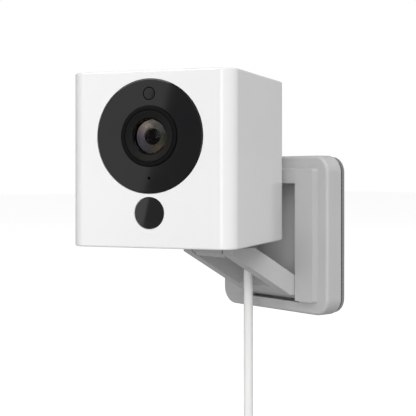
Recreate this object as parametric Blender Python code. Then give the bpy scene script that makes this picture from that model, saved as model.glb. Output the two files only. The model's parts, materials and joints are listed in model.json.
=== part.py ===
"""Small cube camera on a folding wall stand, with its USB lead. Metres, +Z up.

The wall is the plane Y = 0 and the object stands out from it towards -Y. The origin is the centre of the
adhesive pad's face. The head is modelled in its own frame, whose origin is the middle of its underside.
"""

import math

import bmesh
import bpy
from mathutils import Vector

MM = 0.001
GAP = 0.3 * MM

# Base, measured from its front face: "out" is the distance in front of that face, towards -Y.
BASE_SIDE = 50.0 * MM
BASE_CORNER = 5.5 * MM
PAD_SIDE = 46.0 * MM
PAD_THICK = 0.6 * MM
PLATE_SIDE = 49.2 * MM
PLATE_BACK = 0.7 * MM
PLATE_FRONT = 1.8 * MM
WALL_STACK = 2.0 * MM
BASE_THICK = 6.7 * MM
BASE_FRONT = WALL_STACK + BASE_THICK
PLATEAU_HALF = 20.7 * MM
PLATEAU_TOP = 21.1 * MM
PLATEAU_BOTTOM = -21.2 * MM
PLATEAU_RISE = 1.9 * MM
RECESS_HALF = 12.45 * MM
RECESS_TOP = 16.3 * MM
RECESS_BOTTOM = -21.5 * MM
RECESS_DEPTH = 5.2 * MM
MAGNET_X = 18.7 * MM
MAGNET_R = 5.0 * MM
MAGNET_BACK = 2.1 * MM
MAGNET_FRONT = 4.2 * MM

# Stand: both hinges run along X. Each is (distance out from the base's front, height).
LOWER_HINGE = (-1.8 * MM, -17.9 * MM)
UPPER_HINGE = (25.0 * MM, -5.0 * MM)
LOWER_PIN_R = 1.0 * MM
LOWER_PIN_HALF = 15.2 * MM
LOWER_BORE_R = 1.15 * MM
UPPER_PIN_R = 0.75 * MM
UPPER_PIN_HALF = 11.0 * MM
UPPER_BORE_R = 0.95 * MM
WASHER_R = 2.4 * MM
ARM_SLOPE = math.radians(29.5)
ARM_HALF = 12.15 * MM
ARM_ABOVE = 2.8 * MM
ARM_BELOW = 3.58 * MM
ARM_TIP_OUT = 27.5 * MM
ARM_TIP_HEIGHT = -3.3 * MM
ARM_BODY_START = 3.2 * MM
WINDOW_HALF = 7.8 * MM
WINDOW_START = 8.8 * MM
WINDOW_END = 21.8 * MM
LUG_ROOM_HALF = 7.3 * MM
LUG_LEFT = -7.2 * MM
LUG_RIGHT = 6.8 * MM
LUG_NOSE_OUT = 2.35 * MM
LUG_NOSE_LOW = -0.3 * MM
LUG_R = 1.55 * MM
LUG_START = 26.6 * MM
FAR = 40.0 * MM
TIP_EDGE = 0.15 * MM

# Head
HEAD_W = 50.0 * MM
HEAD_D = 51.0 * MM
HEAD_H = 50.1 * MM
HEAD_CORNER = 4.5 * MM
HEAD_WALL = 2.3 * MM
HEAD_BOTTOM = -1.7 * MM
HEAD_OUT = 36.86 * MM
HEAD_YAW = math.radians(30.7)
COVER_THICK = 2.2 * MM
DISC_R = 16.1 * MM
DISC_Z = 31.5 * MM
RING_R = 8.55 * MM
BEZEL_R = 7.2 * MM
GLASS_R = 5.0 * MM
SENSOR_UP = 12.0 * MM
MIC_DOWN = 11.8 * MM
STATUS_R = 4.46 * MM
STATUS_Z = 9.9 * MM
SWIVEL_R = 11.5 * MM
SCREW_R = 1.1 * MM
SCREW_HEAD_R = 2.3 * MM
SCREW_BORE_R = 1.35 * MM
SEAM = 0.2 * MM
GRILLE_Z = 34.0 * MM
GRILLE_HOLE_R = 0.55 * MM

# Sockets, in the head's frame
MICRO_X = 8.0 * MM
SOCKET_Z = 14.0 * MM
USB_A_X = -11.0 * MM
USB_A_Z = SOCKET_Z + 1.6 * MM
BOARD_Z = 10.8 * MM
BOARD_THICK = 1.2 * MM
BOARD_SCREW_X = 17.0 * MM
LAMP_OUT = 11.3 * MM
BUTTON_AT = (15.5 * MM, -13.0 * MM)

# Lead
CORD_D = 3.0 * MM
CORD_X = 0.0
CORD_OUT = 10.5 * MM
JOIN_Z = -12.0 * MM
PLUG_OUT = 3.3 * MM
PLUG_DROP = 5.8 * MM
RELIEF_LONG = 5.0 * MM
COIL_TURNS_ACROSS = 4
COIL_MEAN_R = 16.5 * MM
COIL_Z = -84.0 * MM


# ------------------------------------------------------------------ helpers

MATERIALS = {
    "white_gloss": ((0.86, 0.86, 0.86), 0.22, 0.0),
    "grey_satin": ((0.42, 0.42, 0.42), 0.45, 0.0),
    "black_gloss": ((0.012, 0.012, 0.014), 0.08, 0.0),
    "black_matte": ((0.02, 0.02, 0.02), 0.5, 0.0),
    "lens_glass": ((0.02, 0.02, 0.03), 0.02, 0.0),
    "board_green": ((0.02, 0.12, 0.05), 0.5, 0.0),
    "chip_black": ((0.02, 0.02, 0.02), 0.6, 0.0),
    "steel": ((0.55, 0.55, 0.56), 0.3, 1.0),
    "magnet": ((0.4, 0.4, 0.42), 0.35, 1.0),
    "foam": ((0.75, 0.75, 0.74), 0.9, 0.0),
    "cord_white": ((0.78, 0.78, 0.77), 0.5, 0.0),
    "lamp_clear": ((0.25, 0.2, 0.3), 0.1, 0.0),
}


def clear_scene():
    for obj in list(bpy.data.objects):
        bpy.data.objects.remove(obj, do_unlink=True)


def material(name):
    found = bpy.data.materials.get(name)
    if found:
        return found
    colour, rough, metal = MATERIALS[name]
    made = bpy.data.materials.new(name)
    made.use_nodes = True
    shader = made.node_tree.nodes["Principled BSDF"]
    shader.inputs["Base Color"].default_value = (*colour, 1.0)
    shader.inputs["Roughness"].default_value = rough
    shader.inputs["Metallic"].default_value = metal
    return made


def empty(name, location, yaw=0.0, parent=None):
    made = bpy.data.objects.new(name, None)
    bpy.context.scene.collection.objects.link(made)
    made.location = location
    made.rotation_euler = (0.0, 0.0, yaw)
    made.parent = parent
    return made


def finish_mesh(name, bm, mat, parent):
    bmesh.ops.recalc_face_normals(bm, faces=bm.faces)
    mesh = bpy.data.meshes.new(name)
    bm.to_mesh(mesh)
    bm.free()
    mesh.shade_smooth()
    mesh.set_sharp_from_angle(angle=math.radians(35))
    obj = bpy.data.objects.new(name, mesh)
    bpy.context.scene.collection.objects.link(obj)
    obj.parent = parent
    if mat:
        mesh.materials.append(material(mat))
    else:
        obj.hide_render = True
        obj.display_type = "WIRE"
    return obj


def arc(centre, radius, start, end, steps):
    """Points on an arc, ends included; the angles are in degrees."""
    angles = [math.radians(start + (end - start) * i / steps) for i in range(steps + 1)]
    return [(centre[0] + radius * math.cos(a), centre[1] + radius * math.sin(a)) for a in angles]


def circle(radius, sides=32, centre=(0.0, 0.0)):
    return arc(centre, radius, 0, 360 - 360 / sides, sides - 1)


def rounded(width, height, radius, centre=(0.0, 0.0), steps=5):
    points = []
    for corner, (sx, sy) in enumerate(((1, 1), (-1, 1), (-1, -1), (1, -1))):
        middle = (centre[0] + sx * (width / 2 - radius), centre[1] + sy * (height / 2 - radius))
        points += arc(middle, radius, 90 * corner, 90 * corner + 90, steps)
    return points


def at(axis, u, v, w):
    """The point with in-plane coordinates u, v and height w along the axis: (y, z), (x, z) or (x, y)."""
    return {"X": (w, u, v), "Y": (u, w, v), "Z": (u, v, w)}[axis]


def loft(name, mat, parent, axis, sections):
    """A solid through outlines of the same length, each (outline, height along the axis)."""
    bm = bmesh.new()
    rings = [[bm.verts.new(at(axis, u, v, w)) for u, v in outline] for outline, w in sections]
    for low, high in zip(rings, rings[1:]):
        for i in range(len(low)):
            j = (i + 1) % len(low)
            bm.faces.new((low[i], low[j], high[j], high[i]))
    bm.faces.new(rings[0])
    bm.faces.new(rings[-1])
    return finish_mesh(name, bm, mat, parent)


def prism(name, mat, parent, axis, outline, start, end):
    return loft(name, mat, parent, axis, [(outline, start), (outline, end)])


def box(name, mat, parent, low, high):
    corners = [(low[0], low[1]), (high[0], low[1]), (high[0], high[1]), (low[0], high[1])]
    return prism(name, mat, parent, "Z", corners, low[2], high[2])


def soften(obj, width, segments=2, above=60):
    bevel = obj.modifiers.new("edge", "BEVEL")
    bevel.width = width
    bevel.segments = segments
    bevel.limit_method = "ANGLE"
    bevel.angle_limit = math.radians(above)
    return obj


def boolean(obj, operation, *others):
    for other in others:
        cut = obj.modifiers.new(other.name, "BOOLEAN")
        cut.operation = operation
        cut.object = other
    return obj


def cut(obj, *cutters):
    return boolean(obj, "DIFFERENCE", *cutters)


def turned(name, mat, parent, axis, profile, sides=32, centre=(0.0, 0.0)):
    """A solid of revolution about the axis through centre; profile is (radius, height) from end to end."""
    return loft(name, mat, parent, axis, [(circle(r, sides, centre), h) for r, h in profile])


def tube(name, mat, points, parent=None):
    """A round cord along a smooth curve through its route's own points."""
    curve = bpy.data.curves.new(name, "CURVE")
    curve.dimensions = "3D"
    curve.bevel_depth = CORD_D / 2
    curve.bevel_resolution = 2
    curve.use_fill_caps = True
    spline = curve.splines.new("POLY")
    spline.points.add(len(points) - 1)
    for slot, point in zip(spline.points, points):
        slot.co = (*point, 1.0)
    obj = bpy.data.objects.new(name, curve)
    bpy.context.scene.collection.objects.link(obj)
    obj.parent = parent
    curve.materials.append(material(mat))
    return obj


def smooth_route(points, pieces):
    """Points along a uniform Catmull-Rom curve through the given points."""
    ends = [2 * points[0] - points[1], *points, 2 * points[-1] - points[-2]]
    found = []
    for a, b, c, d in zip(ends, ends[1:], ends[2:], ends[3:]):
        for i in range(pieces):
            t = i / pieces
            square = (2 * a - 5 * b + 4 * c - d) * t**2
            cube = (3 * b - a - 3 * c + d) * t**3
            found.append(0.5 * (2 * b + (c - a) * t + square + cube))
    return [*found, points[-1]]


# ------------------------------------------------------------------ wall side


def wall_parts():
    pad = rounded(PAD_SIDE, PAD_SIDE, BASE_CORNER - MM)
    prism("adhesive_pad", "foam", None, "Y", pad, -PAD_THICK, 0.0)
    plate = rounded(PLATE_SIDE, PLATE_SIDE, BASE_CORNER - 0.4 * MM)
    prism("wall_plate", "steel", None, "Y", plate, -PLATE_FRONT, -PLATE_BACK)


def base_frame():
    outline = rounded(BASE_SIDE, BASE_SIDE, BASE_CORNER)
    frame = prism("base_frame", "grey_satin", None, "Y", outline, -BASE_FRONT, -WALL_STACK)
    soften(frame, 1.0 * MM)
    middle = (0.0, (PLATEAU_TOP + PLATEAU_BOTTOM) / 2)
    height = PLATEAU_TOP - PLATEAU_BOTTOM
    foot = rounded(2 * PLATEAU_HALF, height, 1.0 * MM, middle, 2)
    crown = rounded(2 * (PLATEAU_HALF - GAP), height - 2 * GAP, 0.9 * MM, middle, 2)
    plateau_sections = [
        (foot, -BASE_FRONT + MM),
        (foot, -BASE_FRONT),
        (crown, -BASE_FRONT - PLATEAU_RISE),
    ]
    boolean(frame, "UNION", loft("plateau_add", None, None, "Y", plateau_sections))
    recess = box(
        "recess_cut", None, None,
        (-RECESS_HALF, -BASE_FRONT - 5 * MM, RECESS_BOTTOM),
        (RECESS_HALF, -BASE_FRONT + RECESS_DEPTH, RECESS_TOP),
    )
    hinge = (-BASE_FRONT - LOWER_HINGE[0], LOWER_HINGE[1])
    half = LOWER_PIN_HALF + GAP
    bore = prism("lower_bore_cut", None, None, "X", circle(LOWER_BORE_R, 16, hinge), -half, half)
    cut(frame, recess, bore)
    for side, sign in (("left", -1), ("right", 1)):
        magnet_and_washer(frame, side, sign, hinge)
    pin = circle(LOWER_PIN_R, 16, hinge)
    prism("lower_hinge_pin", "steel", None, "X", pin, -LOWER_PIN_HALF, LOWER_PIN_HALF)


def magnet_and_washer(frame, side, sign, hinge):
    """One side's magnet, in its pocket, and the thin washer between the arm and the recess wall."""
    centre = (sign * MAGNET_X, 0.0)
    pocket = circle(MAGNET_R + GAP, 24, centre)
    cut(frame, prism(f"magnet_cut_{side}", None, None, "Y", pocket, -MAGNET_FRONT - GAP, -WALL_STACK + MM))
    prism(f"magnet_{side}", "magnet", None, "Y", circle(MAGNET_R, 24, centre), -MAGNET_FRONT, -MAGNET_BACK)
    low, high = sorted((sign * (RECESS_HALF - 0.15 * MM), sign * (RECESS_HALF - 1.0 * MM)))
    washer = prism(f"hinge_washer_{side}", "steel", None, "X", circle(WASHER_R, 20, hinge), low, high)
    hole = circle(LOWER_BORE_R, 16, hinge)
    cut(washer, prism(f"washer_cut_{side}", None, None, "X", hole, low - MM, high + MM))


# ------------------------------------------------------------------ stand


def arm_point(along, across):
    """(y, z) of a point on the arm, from the lower hinge."""
    out = along * math.cos(ARM_SLOPE) - across * math.sin(ARM_SLOPE)
    up = along * math.sin(ARM_SLOPE) + across * math.cos(ARM_SLOPE)
    return -out, up


def arm_outline():
    """The arm's side view from the lower hinge: a round back end, an upright tip with a level top."""
    tip_out = ARM_TIP_OUT - LOWER_HINGE[0]
    tip_up = ARM_TIP_HEIGHT - LOWER_HINGE[1]
    slope, rise = math.tan(ARM_SLOPE), math.cos(ARM_SLOPE)
    under_tip = tip_out * slope - ARM_BELOW / rise
    cut_start = (tip_up - ARM_ABOVE / rise) / slope
    back = [
        arm_point(ARM_ABOVE * math.cos(angle), ARM_ABOVE * math.sin(angle))
        for angle in (math.radians(90 + 15 * i) for i in range(13))
    ]
    return [
        *back,
        arm_point(2.2 * MM, -ARM_ABOVE),
        arm_point(ARM_BODY_START - 0.2 * MM, -ARM_BELOW + 0.6 * MM),
        arm_point(ARM_BODY_START + 0.5 * MM, -ARM_BELOW),
        (-(tip_out - TIP_EDGE), under_tip),
        (-tip_out, under_tip + 2 * TIP_EDGE),
        (-tip_out, tip_up - TIP_EDGE),
        (-(tip_out - TIP_EDGE), tip_up),
        (-cut_start, tip_up),
    ]


def arm_slab(name, hinge, along, across, half):
    """A cutter box lined up with the arm."""
    low, high = (along[0], across[0]), (along[1], across[1])
    corners = [low, (high[0], low[1]), high, (low[0], high[1])]
    return prism(name, None, hinge, "X", [arm_point(u, v) for u, v in corners], -half, half)


def arm_parts():
    hinge = empty("arm_axis", (0.0, -BASE_FRONT - LOWER_HINGE[0], LOWER_HINGE[1]))
    arm = prism("arm", "grey_satin", hinge, "X", arm_outline(), -ARM_HALF, ARM_HALF)
    soften(arm, 0.35 * MM, 2, 80)
    window = arm_slab("window_cut", hinge, (WINDOW_START, WINDOW_END), (-6 * MM, 6 * MM), WINDOW_HALF)
    under = arm_slab("underside_cut", hinge, (WINDOW_END - MM, FAR), (-6 * MM, -0.3 * MM), WINDOW_HALF)
    lug_room = arm_slab("lug_cut", hinge, (LUG_START, FAR), (-9 * MM, 9 * MM), LUG_ROOM_HALF)
    pin = (-(UPPER_HINGE[0] - LOWER_HINGE[0]), UPPER_HINGE[1] - LOWER_HINGE[1])
    half = UPPER_PIN_HALF + GAP
    upper = prism("upper_bore_cut", None, hinge, "X", circle(UPPER_BORE_R, 16, pin), -half, half)
    lower = prism("arm_bore_cut", None, hinge, "X", circle(LOWER_BORE_R, 16), -FAR, FAR)
    sides = []
    for side, sign in (("left", -1), ("right", 1)):
        low, high = sorted((sign * (RECESS_HALF - 1.25 * MM), sign * FAR))
        room = circle(WASHER_R + 0.42 * MM, 24)
        sides.append(prism(f"washer_room_{side}", None, hinge, "X", room, low, high))
    cut(arm, window, under, lug_room, upper, lower, *sides)
    outline = circle(UPPER_PIN_R, 16, pin)
    prism("upper_hinge_pin", "steel", hinge, "X", outline, -UPPER_PIN_HALF, UPPER_PIN_HALF)


def foot_parts():
    hinge = empty("foot_axis", (0.0, -BASE_FRONT - UPPER_HINGE[0], UPPER_HINGE[1]))
    reach = HEAD_OUT - UPPER_HINGE[0]
    axis = (0.0, -reach)
    bar_low = -2.95 * MM - UPPER_HINGE[1]
    bar_high = -2.0 * MM - UPPER_HINGE[1]
    base = -2.6 * MM - UPPER_HINGE[1]
    top = HEAD_BOTTOM + MM - UPPER_HINGE[1]
    hub_r = 4.2 * MM
    hub_top = 0.85 * MM - UPPER_HINGE[1]
    bar = (LUG_LEFT, -reach, bar_low), (LUG_RIGHT, 5 * MM, bar_high)
    foot = box("swivel_foot", "grey_satin", hinge, *bar)
    barrel = prism("lug_add", None, hinge, "X", circle(LUG_R, 20), LUG_LEFT, LUG_RIGHT)
    web_low = (LUG_LEFT, -LUG_NOSE_OUT, LUG_NOSE_LOW)
    web_high = (LUG_RIGHT, LUG_R - 0.2 * MM, bar_low + 0.2 * MM)
    web = box("web_add", None, hinge, web_low, web_high)
    profile = [
        (SWIVEL_R - 0.4 * MM, base),
        (SWIVEL_R, base + 0.4 * MM),
        (SWIVEL_R, top),
        (hub_r, top),
        (hub_r, hub_top),
    ]
    boolean(foot, "UNION", barrel, web, turned("disc_add", None, hinge, "Z", profile, 40, axis))
    bore = prism("foot_bore_cut", None, hinge, "X", circle(UPPER_BORE_R, 16), -FAR, FAR)
    hole = circle(SCREW_BORE_R, 16, axis)
    screw_hole = prism("screw_hole_cut", None, hinge, "Z", hole, base + 1.2 * MM, hub_top + MM)
    cut(foot, bore, screw_hole)
    washer_low = hub_top + 0.25 * MM
    washer_high = washer_low + 0.8 * MM
    ring = circle(7.0 * MM, 32, axis)
    washer = prism("swivel_washer", "steel", hinge, "Z", ring, washer_low, washer_high)
    cut(washer, prism("swivel_washer_cut", None, hinge, "Z", hole, washer_low - MM, washer_high + MM))
    screw("swivel_screw", hinge, axis, base + 1.6 * MM, washer_high + 0.2 * MM, SCREW_HEAD_R)


def screw(name, parent, centre, low, seat, head_r):
    """A screw that points down, with its head from seat upwards."""
    profile = [
        (SCREW_R, low),
        (SCREW_R, seat),
        (head_r, seat),
        (head_r, seat + 0.8 * MM),
        (1.5 * MM, seat + 1.4 * MM),
    ]
    made = turned(name, "steel", parent, "Z", profile, 24, centre)
    cross_slot(made, parent, centre, seat + 1.4 * MM)


def cross_slot(made, parent, centre, top):
    """A cross recess in a screw head that faces +Z."""
    for i, (wide, deep) in enumerate(((1.6 * MM, 0.4 * MM), (0.4 * MM, 1.6 * MM))):
        low = (centre[0] - wide / 2, centre[1] - deep / 2, top - 0.6 * MM)
        high = (centre[0] + wide / 2, centre[1] + deep / 2, top + MM)
        cut(made, box(f"{made.name}_slot_cut_{i}", None, parent, low, high))


# ------------------------------------------------------------------ head

FRONT = -HEAD_D / 2
BACK = HEAD_D / 2


def shells(head):
    half, rear, steps = HEAD_W / 2, BACK - COVER_THICK - SEAM, 6
    r = HEAD_CORNER
    turn = math.degrees(math.asin((rear - BACK + r) / r))
    outline = [
        *arc((half - r, BACK - r), r, 0, turn, 2),
        *arc((-half + r, BACK - r), r, 180 - turn, 180, 2),
        *arc((-half + r, FRONT + r), r, 180, 270, steps)[1:],
        *arc((half - r, FRONT + r), r, 270, 360, steps)[:-1],
    ]
    shell = prism("front_shell", "white_gloss", head, "Z", outline, 0.0, HEAD_H)
    soften(shell, 0.7 * MM, 3, 80)
    inner_half = half - HEAD_WALL
    cavity_low = (-inner_half, FRONT + 3.0 * MM, HEAD_WALL)
    cavity_high = (inner_half, rear + 5 * MM, HEAD_H - HEAD_WALL)
    slot_low = (-8.0 * MM, -18.2 * MM, -2 * MM)
    slot_high = (4.5 * MM, -16.6 * MM, 4 * MM)
    cut(
        shell,
        box("cavity_cut", None, head, cavity_low, cavity_high),
        front_cut("disc_seat_cut", head, DISC_R + 0.2 * MM, DISC_Z, 1.6 * MM, 64),
        front_cut("disc_hole_cut", head, 14.2 * MM, DISC_Z, 5 * MM, 48),
        front_cut("status_seat_cut", head, STATUS_R + 0.15 * MM, STATUS_Z, 1.4 * MM, 40),
        front_cut("status_hole_cut", head, 3.2 * MM, STATUS_Z, 5 * MM, 24),
        under_cut("foot_seat_cut", head, SWIVEL_R + 0.4 * MM, (0.0, 0.0), 1.3 * MM, 40),
        under_cut("foot_hole_cut", head, 4.5 * MM, (0.0, 0.0), 4 * MM, 32),
        under_cut("button_hole_cut", head, 1.9 * MM, BUTTON_AT, 4 * MM, 20),
        box("card_slot_cut", None, head, slot_low, slot_high),
    )
    rear_cover(head)


def front_cut(name, head, radius, height, depth, sides):
    """A round cutter from in front of the head to this depth behind its front face."""
    outline = circle(radius, sides, (0.0, height))
    return prism(name, None, head, "Y", outline, FRONT - 2 * MM, FRONT + depth)


def under_cut(name, head, radius, centre, height, sides):
    """A round cutter from below the head to this height."""
    return prism(name, None, head, "Z", circle(radius, sides, centre), -2 * MM, height)


def rear_cover(head):
    r, half = HEAD_CORNER, HEAD_W / 2
    low = BACK - COVER_THICK
    turn = math.degrees(math.asin((low - BACK + r) / r))
    right = arc((half - r, BACK - r), r, turn, 90, 4)
    left = arc((-half + r, BACK - r), r, 90, 180 - turn, 4)
    cover = prism("rear_cover", "white_gloss", head, "Z", [*right, *left], 0.0, HEAD_H)
    soften(cover, 0.6 * MM, 2, 75)
    edge = HEAD_WALL + GAP
    rim_low = (-half + edge, low - 1.5 * MM, edge)
    rim_high = (half - edge, low + 0.5 * MM, HEAD_H - edge)
    boolean(cover, "UNION", box("cover_rim_add", None, head, rim_low, rim_high))
    inner = HEAD_WALL + 1.6 * MM
    hollow_low = (-half + inner, low - 4 * MM, inner)
    hollow_high = (half - inner, low - 0.2 * MM, HEAD_H - inner)
    micro = rounded(8.6 * MM, 3.8 * MM, 1.0 * MM, (MICRO_X, SOCKET_Z), 2)
    usb = rounded(14.2 * MM, 6.8 * MM, 0.6 * MM, (USB_A_X, USB_A_Z), 2)
    cut(
        cover,
        box("cover_hollow_cut", None, head, hollow_low, hollow_high),
        prism("micro_opening_cut", None, head, "Y", micro, low - 3 * MM, BACK + MM),
        prism("usb_opening_cut", None, head, "Y", usb, low - 3 * MM, BACK + MM),
    )
    for ring, (radius, count) in enumerate(((0.0, 1), (2.2 * MM, 6), (4.4 * MM, 12), (6.6 * MM, 18))):
        for i in range(count):
            angle = 2 * math.pi * i / count
            centre = (radius * math.cos(angle), GRILLE_Z + radius * math.sin(angle))
            hole = circle(GRILLE_HOLE_R, 8, centre)
            cut(cover, prism(f"grille_cut_{ring}_{i}", None, head, "Y", hole, low - 3 * MM, BACK + MM))


def face_parts(head):
    front = FRONT - 0.15 * MM
    sensor = (0.0, DISC_Z + SENSOR_UP)
    microphone = (0.0, DISC_Z - MIC_DOWN)
    status = (0.0, STATUS_Z)
    edge = 0.35 * MM
    disc_profile = [(DISC_R - edge, front), (DISC_R, front + edge), (DISC_R, FRONT + 1.3 * MM)]
    disc = turned("face_disc", "black_gloss", head, "Y", disc_profile, 64, (0.0, DISC_Z))
    cut(
        disc,
        front_cut("lens_hole_cut", head, RING_R + 0.15 * MM, DISC_Z, 3 * MM, 48),
        front_cut("sensor_hole_cut", head, 1.85 * MM, sensor[1], 3 * MM, 24),
        front_cut("mic_hole_cut", head, 0.4 * MM, microphone[1], 3 * MM, 12),
    )
    sensor_profile = [(1.6 * MM, FRONT - 0.1 * MM), (1.7 * MM, FRONT), (1.7 * MM, FRONT + 2.4 * MM)]
    turned("light_sensor", "black_gloss", head, "Y", sensor_profile, 24, sensor)
    microphone_profile = [(2.0 * MM, FRONT + 1.7 * MM), (2.0 * MM, FRONT + 3.1 * MM)]
    turned("microphone", "steel", head, "Y", microphone_profile, 20, microphone)
    status_profile = [(STATUS_R - edge, front), (STATUS_R, front + edge), (STATUS_R, FRONT + 1.1 * MM)]
    turned("status_window", "black_gloss", head, "Y", status_profile, 40, status)
    lamp_r = 1.6 * MM
    top = FRONT + 1.5 * MM
    lamp_profile = [(lamp_r - GAP, top), (lamp_r, top + 0.6 * MM), (lamp_r, top + 2.9 * MM)]
    turned("status_lamp", "lamp_clear", head, "Y", lamp_profile, 16, status)


def ring_part(name, mat, head, outer, inner, sides=48):
    """A ring about the lens axis; outer and inner are (radius, depth behind the face) in millimetres."""
    axis = (0.0, DISC_Z)
    ring = turned(name, mat, head, "Y", [(r * MM, FRONT + d * MM) for r, d in outer], sides, axis)
    hole = turned(f"{name}_cut", None, head, "Y", [(r * MM, FRONT + d * MM) for r, d in inner], sides, axis)
    return cut(ring, hole)


def lens_parts(head):
    ring_r, bezel_r, glass_r = RING_R / MM, BEZEL_R / MM, GLASS_R / MM
    ring_outer = [(ring_r - 0.3, -0.5), (ring_r, -0.2), (ring_r, 2.2)]
    ring_inner = [(bezel_r + 0.2, -1.0), (bezel_r + 0.15, 0.2), (bezel_r + 0.15, 4)]
    ring_part("lens_ring", "black_matte", head, ring_outer, ring_inner)
    bezel_inner = [(bezel_r - 0.3, -1), (bezel_r - 0.5, -0.1), (glass_r + 0.25, 1.0), (glass_r + 0.25, 6)]
    ring_part("lens_bezel", "black_matte", head, [(bezel_r, -0.4), (bezel_r, 4.2)], bezel_inner)
    dome = [
        (GLASS_R * math.sin(math.radians(a)), FRONT + 1.6 * MM - 1.9 * MM * math.cos(math.radians(a)))
        for a in (8, 25, 45, 65, 90)
    ]
    turned("lens_glass", "lens_glass", head, "Y", [*dome, (GLASS_R, FRONT + 4.4 * MM)], 40, (0.0, DISC_Z))
    ring_part("lens_barrel", "black_matte", head, [(6.4, 4.9), (6.4, 14.0)], [(3.4, 4), (3.4, 16)], 32)
    half = 7.6 * MM
    holder_low = (-half, FRONT + 9.5 * MM, DISC_Z - half)
    holder_high = (half, FRONT + 17.0 * MM, DISC_Z + half)
    holder = box("lens_holder", "black_matte", head, holder_low, holder_high)
    soften(holder, 0.6 * MM)
    bore = circle(6.7 * MM, 32, (0.0, DISC_Z))
    cut(holder, prism("holder_cut", None, head, "Y", bore, FRONT + 8 * MM, FRONT + 19 * MM))
    chip_half = 4.0 * MM
    chip_low = (-chip_half, FRONT + 15.2 * MM, DISC_Z - chip_half)
    chip_high = (chip_half, FRONT + 17.0 * MM, DISC_Z + chip_half)
    box("image_sensor", "chip_black", head, chip_low, chip_high)
    board = rounded(38 * MM, 26 * MM, 2 * MM, (0.0, DISC_Z), 2)
    prism("sensor_board", "board_green", head, "Y", board, FRONT + 17.3 * MM, FRONT + 18.5 * MM)


def lamp_parts(head):
    ring_part("lamp_board", "board_green", head, [(13.6, 5.4), (13.6, 6.4)], [(7.4, 4), (7.4, 8)], 40)
    profile = [(0.6 * MM, 2.2 * MM), (1.3 * MM, 2.8 * MM), (1.5 * MM, 3.6 * MM), (1.5 * MM, 5.1 * MM)]
    for i in range(4):
        angle = math.radians(45 + 90 * i)
        centre = (LAMP_OUT * math.cos(angle), DISC_Z + LAMP_OUT * math.sin(angle))
        sections = [(r, FRONT + d) for r, d in profile]
        turned(f"infrared_lamp_{i + 1}", "lamp_clear", head, "Y", sections, 16, centre)


def socket(name, head, centre, size, depth, wall):
    """A metal socket shell, open at the back, with its tongue."""
    width, height = size
    closed = BACK - 1.9 * MM - depth
    shell = rounded(width, height, 0.5 * MM, centre, 2)
    room = rounded(width - 2 * wall, height - 2 * wall, 0.3 * MM, centre, 2)
    outer = prism(name, "steel", head, "Y", shell, closed, BACK - 0.9 * MM)
    inner = prism(f"{name}_cut", None, head, "Y", room, closed + 1.5 * MM, BACK + MM)
    tongue_z = centre[1] + height * 0.08
    tongue_half = width * 0.36
    tongue_low = (centre[0] - tongue_half, closed + MM, tongue_z)
    tongue_high = (centre[0] + tongue_half, BACK - 2.6 * MM, tongue_z + height * 0.2)
    tongue = box(f"{name}_tongue_add", None, head, tongue_low, tongue_high)
    return boolean(cut(outer, inner), "UNION", tongue)


def board_parts(head):
    top = BOARD_Z + BOARD_THICK
    rear = BACK - COVER_THICK - 2.2 * MM
    board = box("main_board", "board_green", head, (-20 * MM, -4 * MM, BOARD_Z), (20 * MM, rear, top))
    for i, x in enumerate((-BOARD_SCREW_X, BOARD_SCREW_X)):
        hole = circle(SCREW_BORE_R + 0.15 * MM, 16, (x, 0.0))
        cut(board, prism(f"board_hole_cut_{i}", None, head, "Z", hole, 0.0, top + MM))
        screw(f"board_screw_{i + 1}", head, (x, 0.0), 5.0 * MM, top + 0.2 * MM, SCREW_HEAD_R - 0.1 * MM)
    socket("micro_usb_socket", head, (MICRO_X, SOCKET_Z), (7.8 * MM, 3.1 * MM), 4.6 * MM, 0.35 * MM)
    socket("usb_a_socket", head, (USB_A_X, USB_A_Z), (13.4 * MM, 6.0 * MM), 10.5 * MM, 0.4 * MM)
    card_low, card_high = (-8.6 * MM, -19.0 * MM, 2.7 * MM), (5.1 * MM, -15.8 * MM, 17.0 * MM)
    room_low, room_high = (-7.8 * MM, -18.1 * MM, 0.0), (4.3 * MM, -16.7 * MM, 15.0 * MM)
    card_slot = box("card_slot", "steel", head, card_low, card_high)
    cut(card_slot, box("card_room_cut", None, head, room_low, room_high))
    x, y = BUTTON_AT
    half = 2.2 * MM
    switch_low, switch_high = (x - half, y - half, 4.3 * MM), (x + half, y + half, 6.6 * MM)
    soften(box("tact_switch", "chip_black", head, switch_low, switch_high), 0.3 * MM)
    back = BACK - COVER_THICK
    cone = [
        (9.0 * MM, back - 2.0 * MM),
        (9.0 * MM, back - 3.2 * MM),
        (5.5 * MM, back - 4.6 * MM),
        (5.5 * MM, back - 6.5 * MM),
    ]
    turned("speaker", "black_matte", head, "Y", cone, 32, (0.0, GRILLE_Z))
    antenna_low, antenna_high = (-22.0 * MM, -16 * MM, 42.0 * MM), (-21.2 * MM, 8 * MM, 46.5 * MM)
    box("antenna", "board_green", head, antenna_low, antenna_high)


def button_parts(head):
    button = empty("button_axis", (*BUTTON_AT, 0.0), parent=head)
    profile = [
        (1.35 * MM, 0.2 * MM),
        (1.6 * MM, 0.45 * MM),
        (1.6 * MM, 2.6 * MM),
        (2.6 * MM, 2.6 * MM),
        (2.6 * MM, 3.3 * MM),
        (0.9 * MM, 3.3 * MM),
        (0.9 * MM, 3.8 * MM),
    ]
    turned("setup_button", "grey_satin", button, "Z", profile, 24)


# ------------------------------------------------------------------ lead


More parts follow.
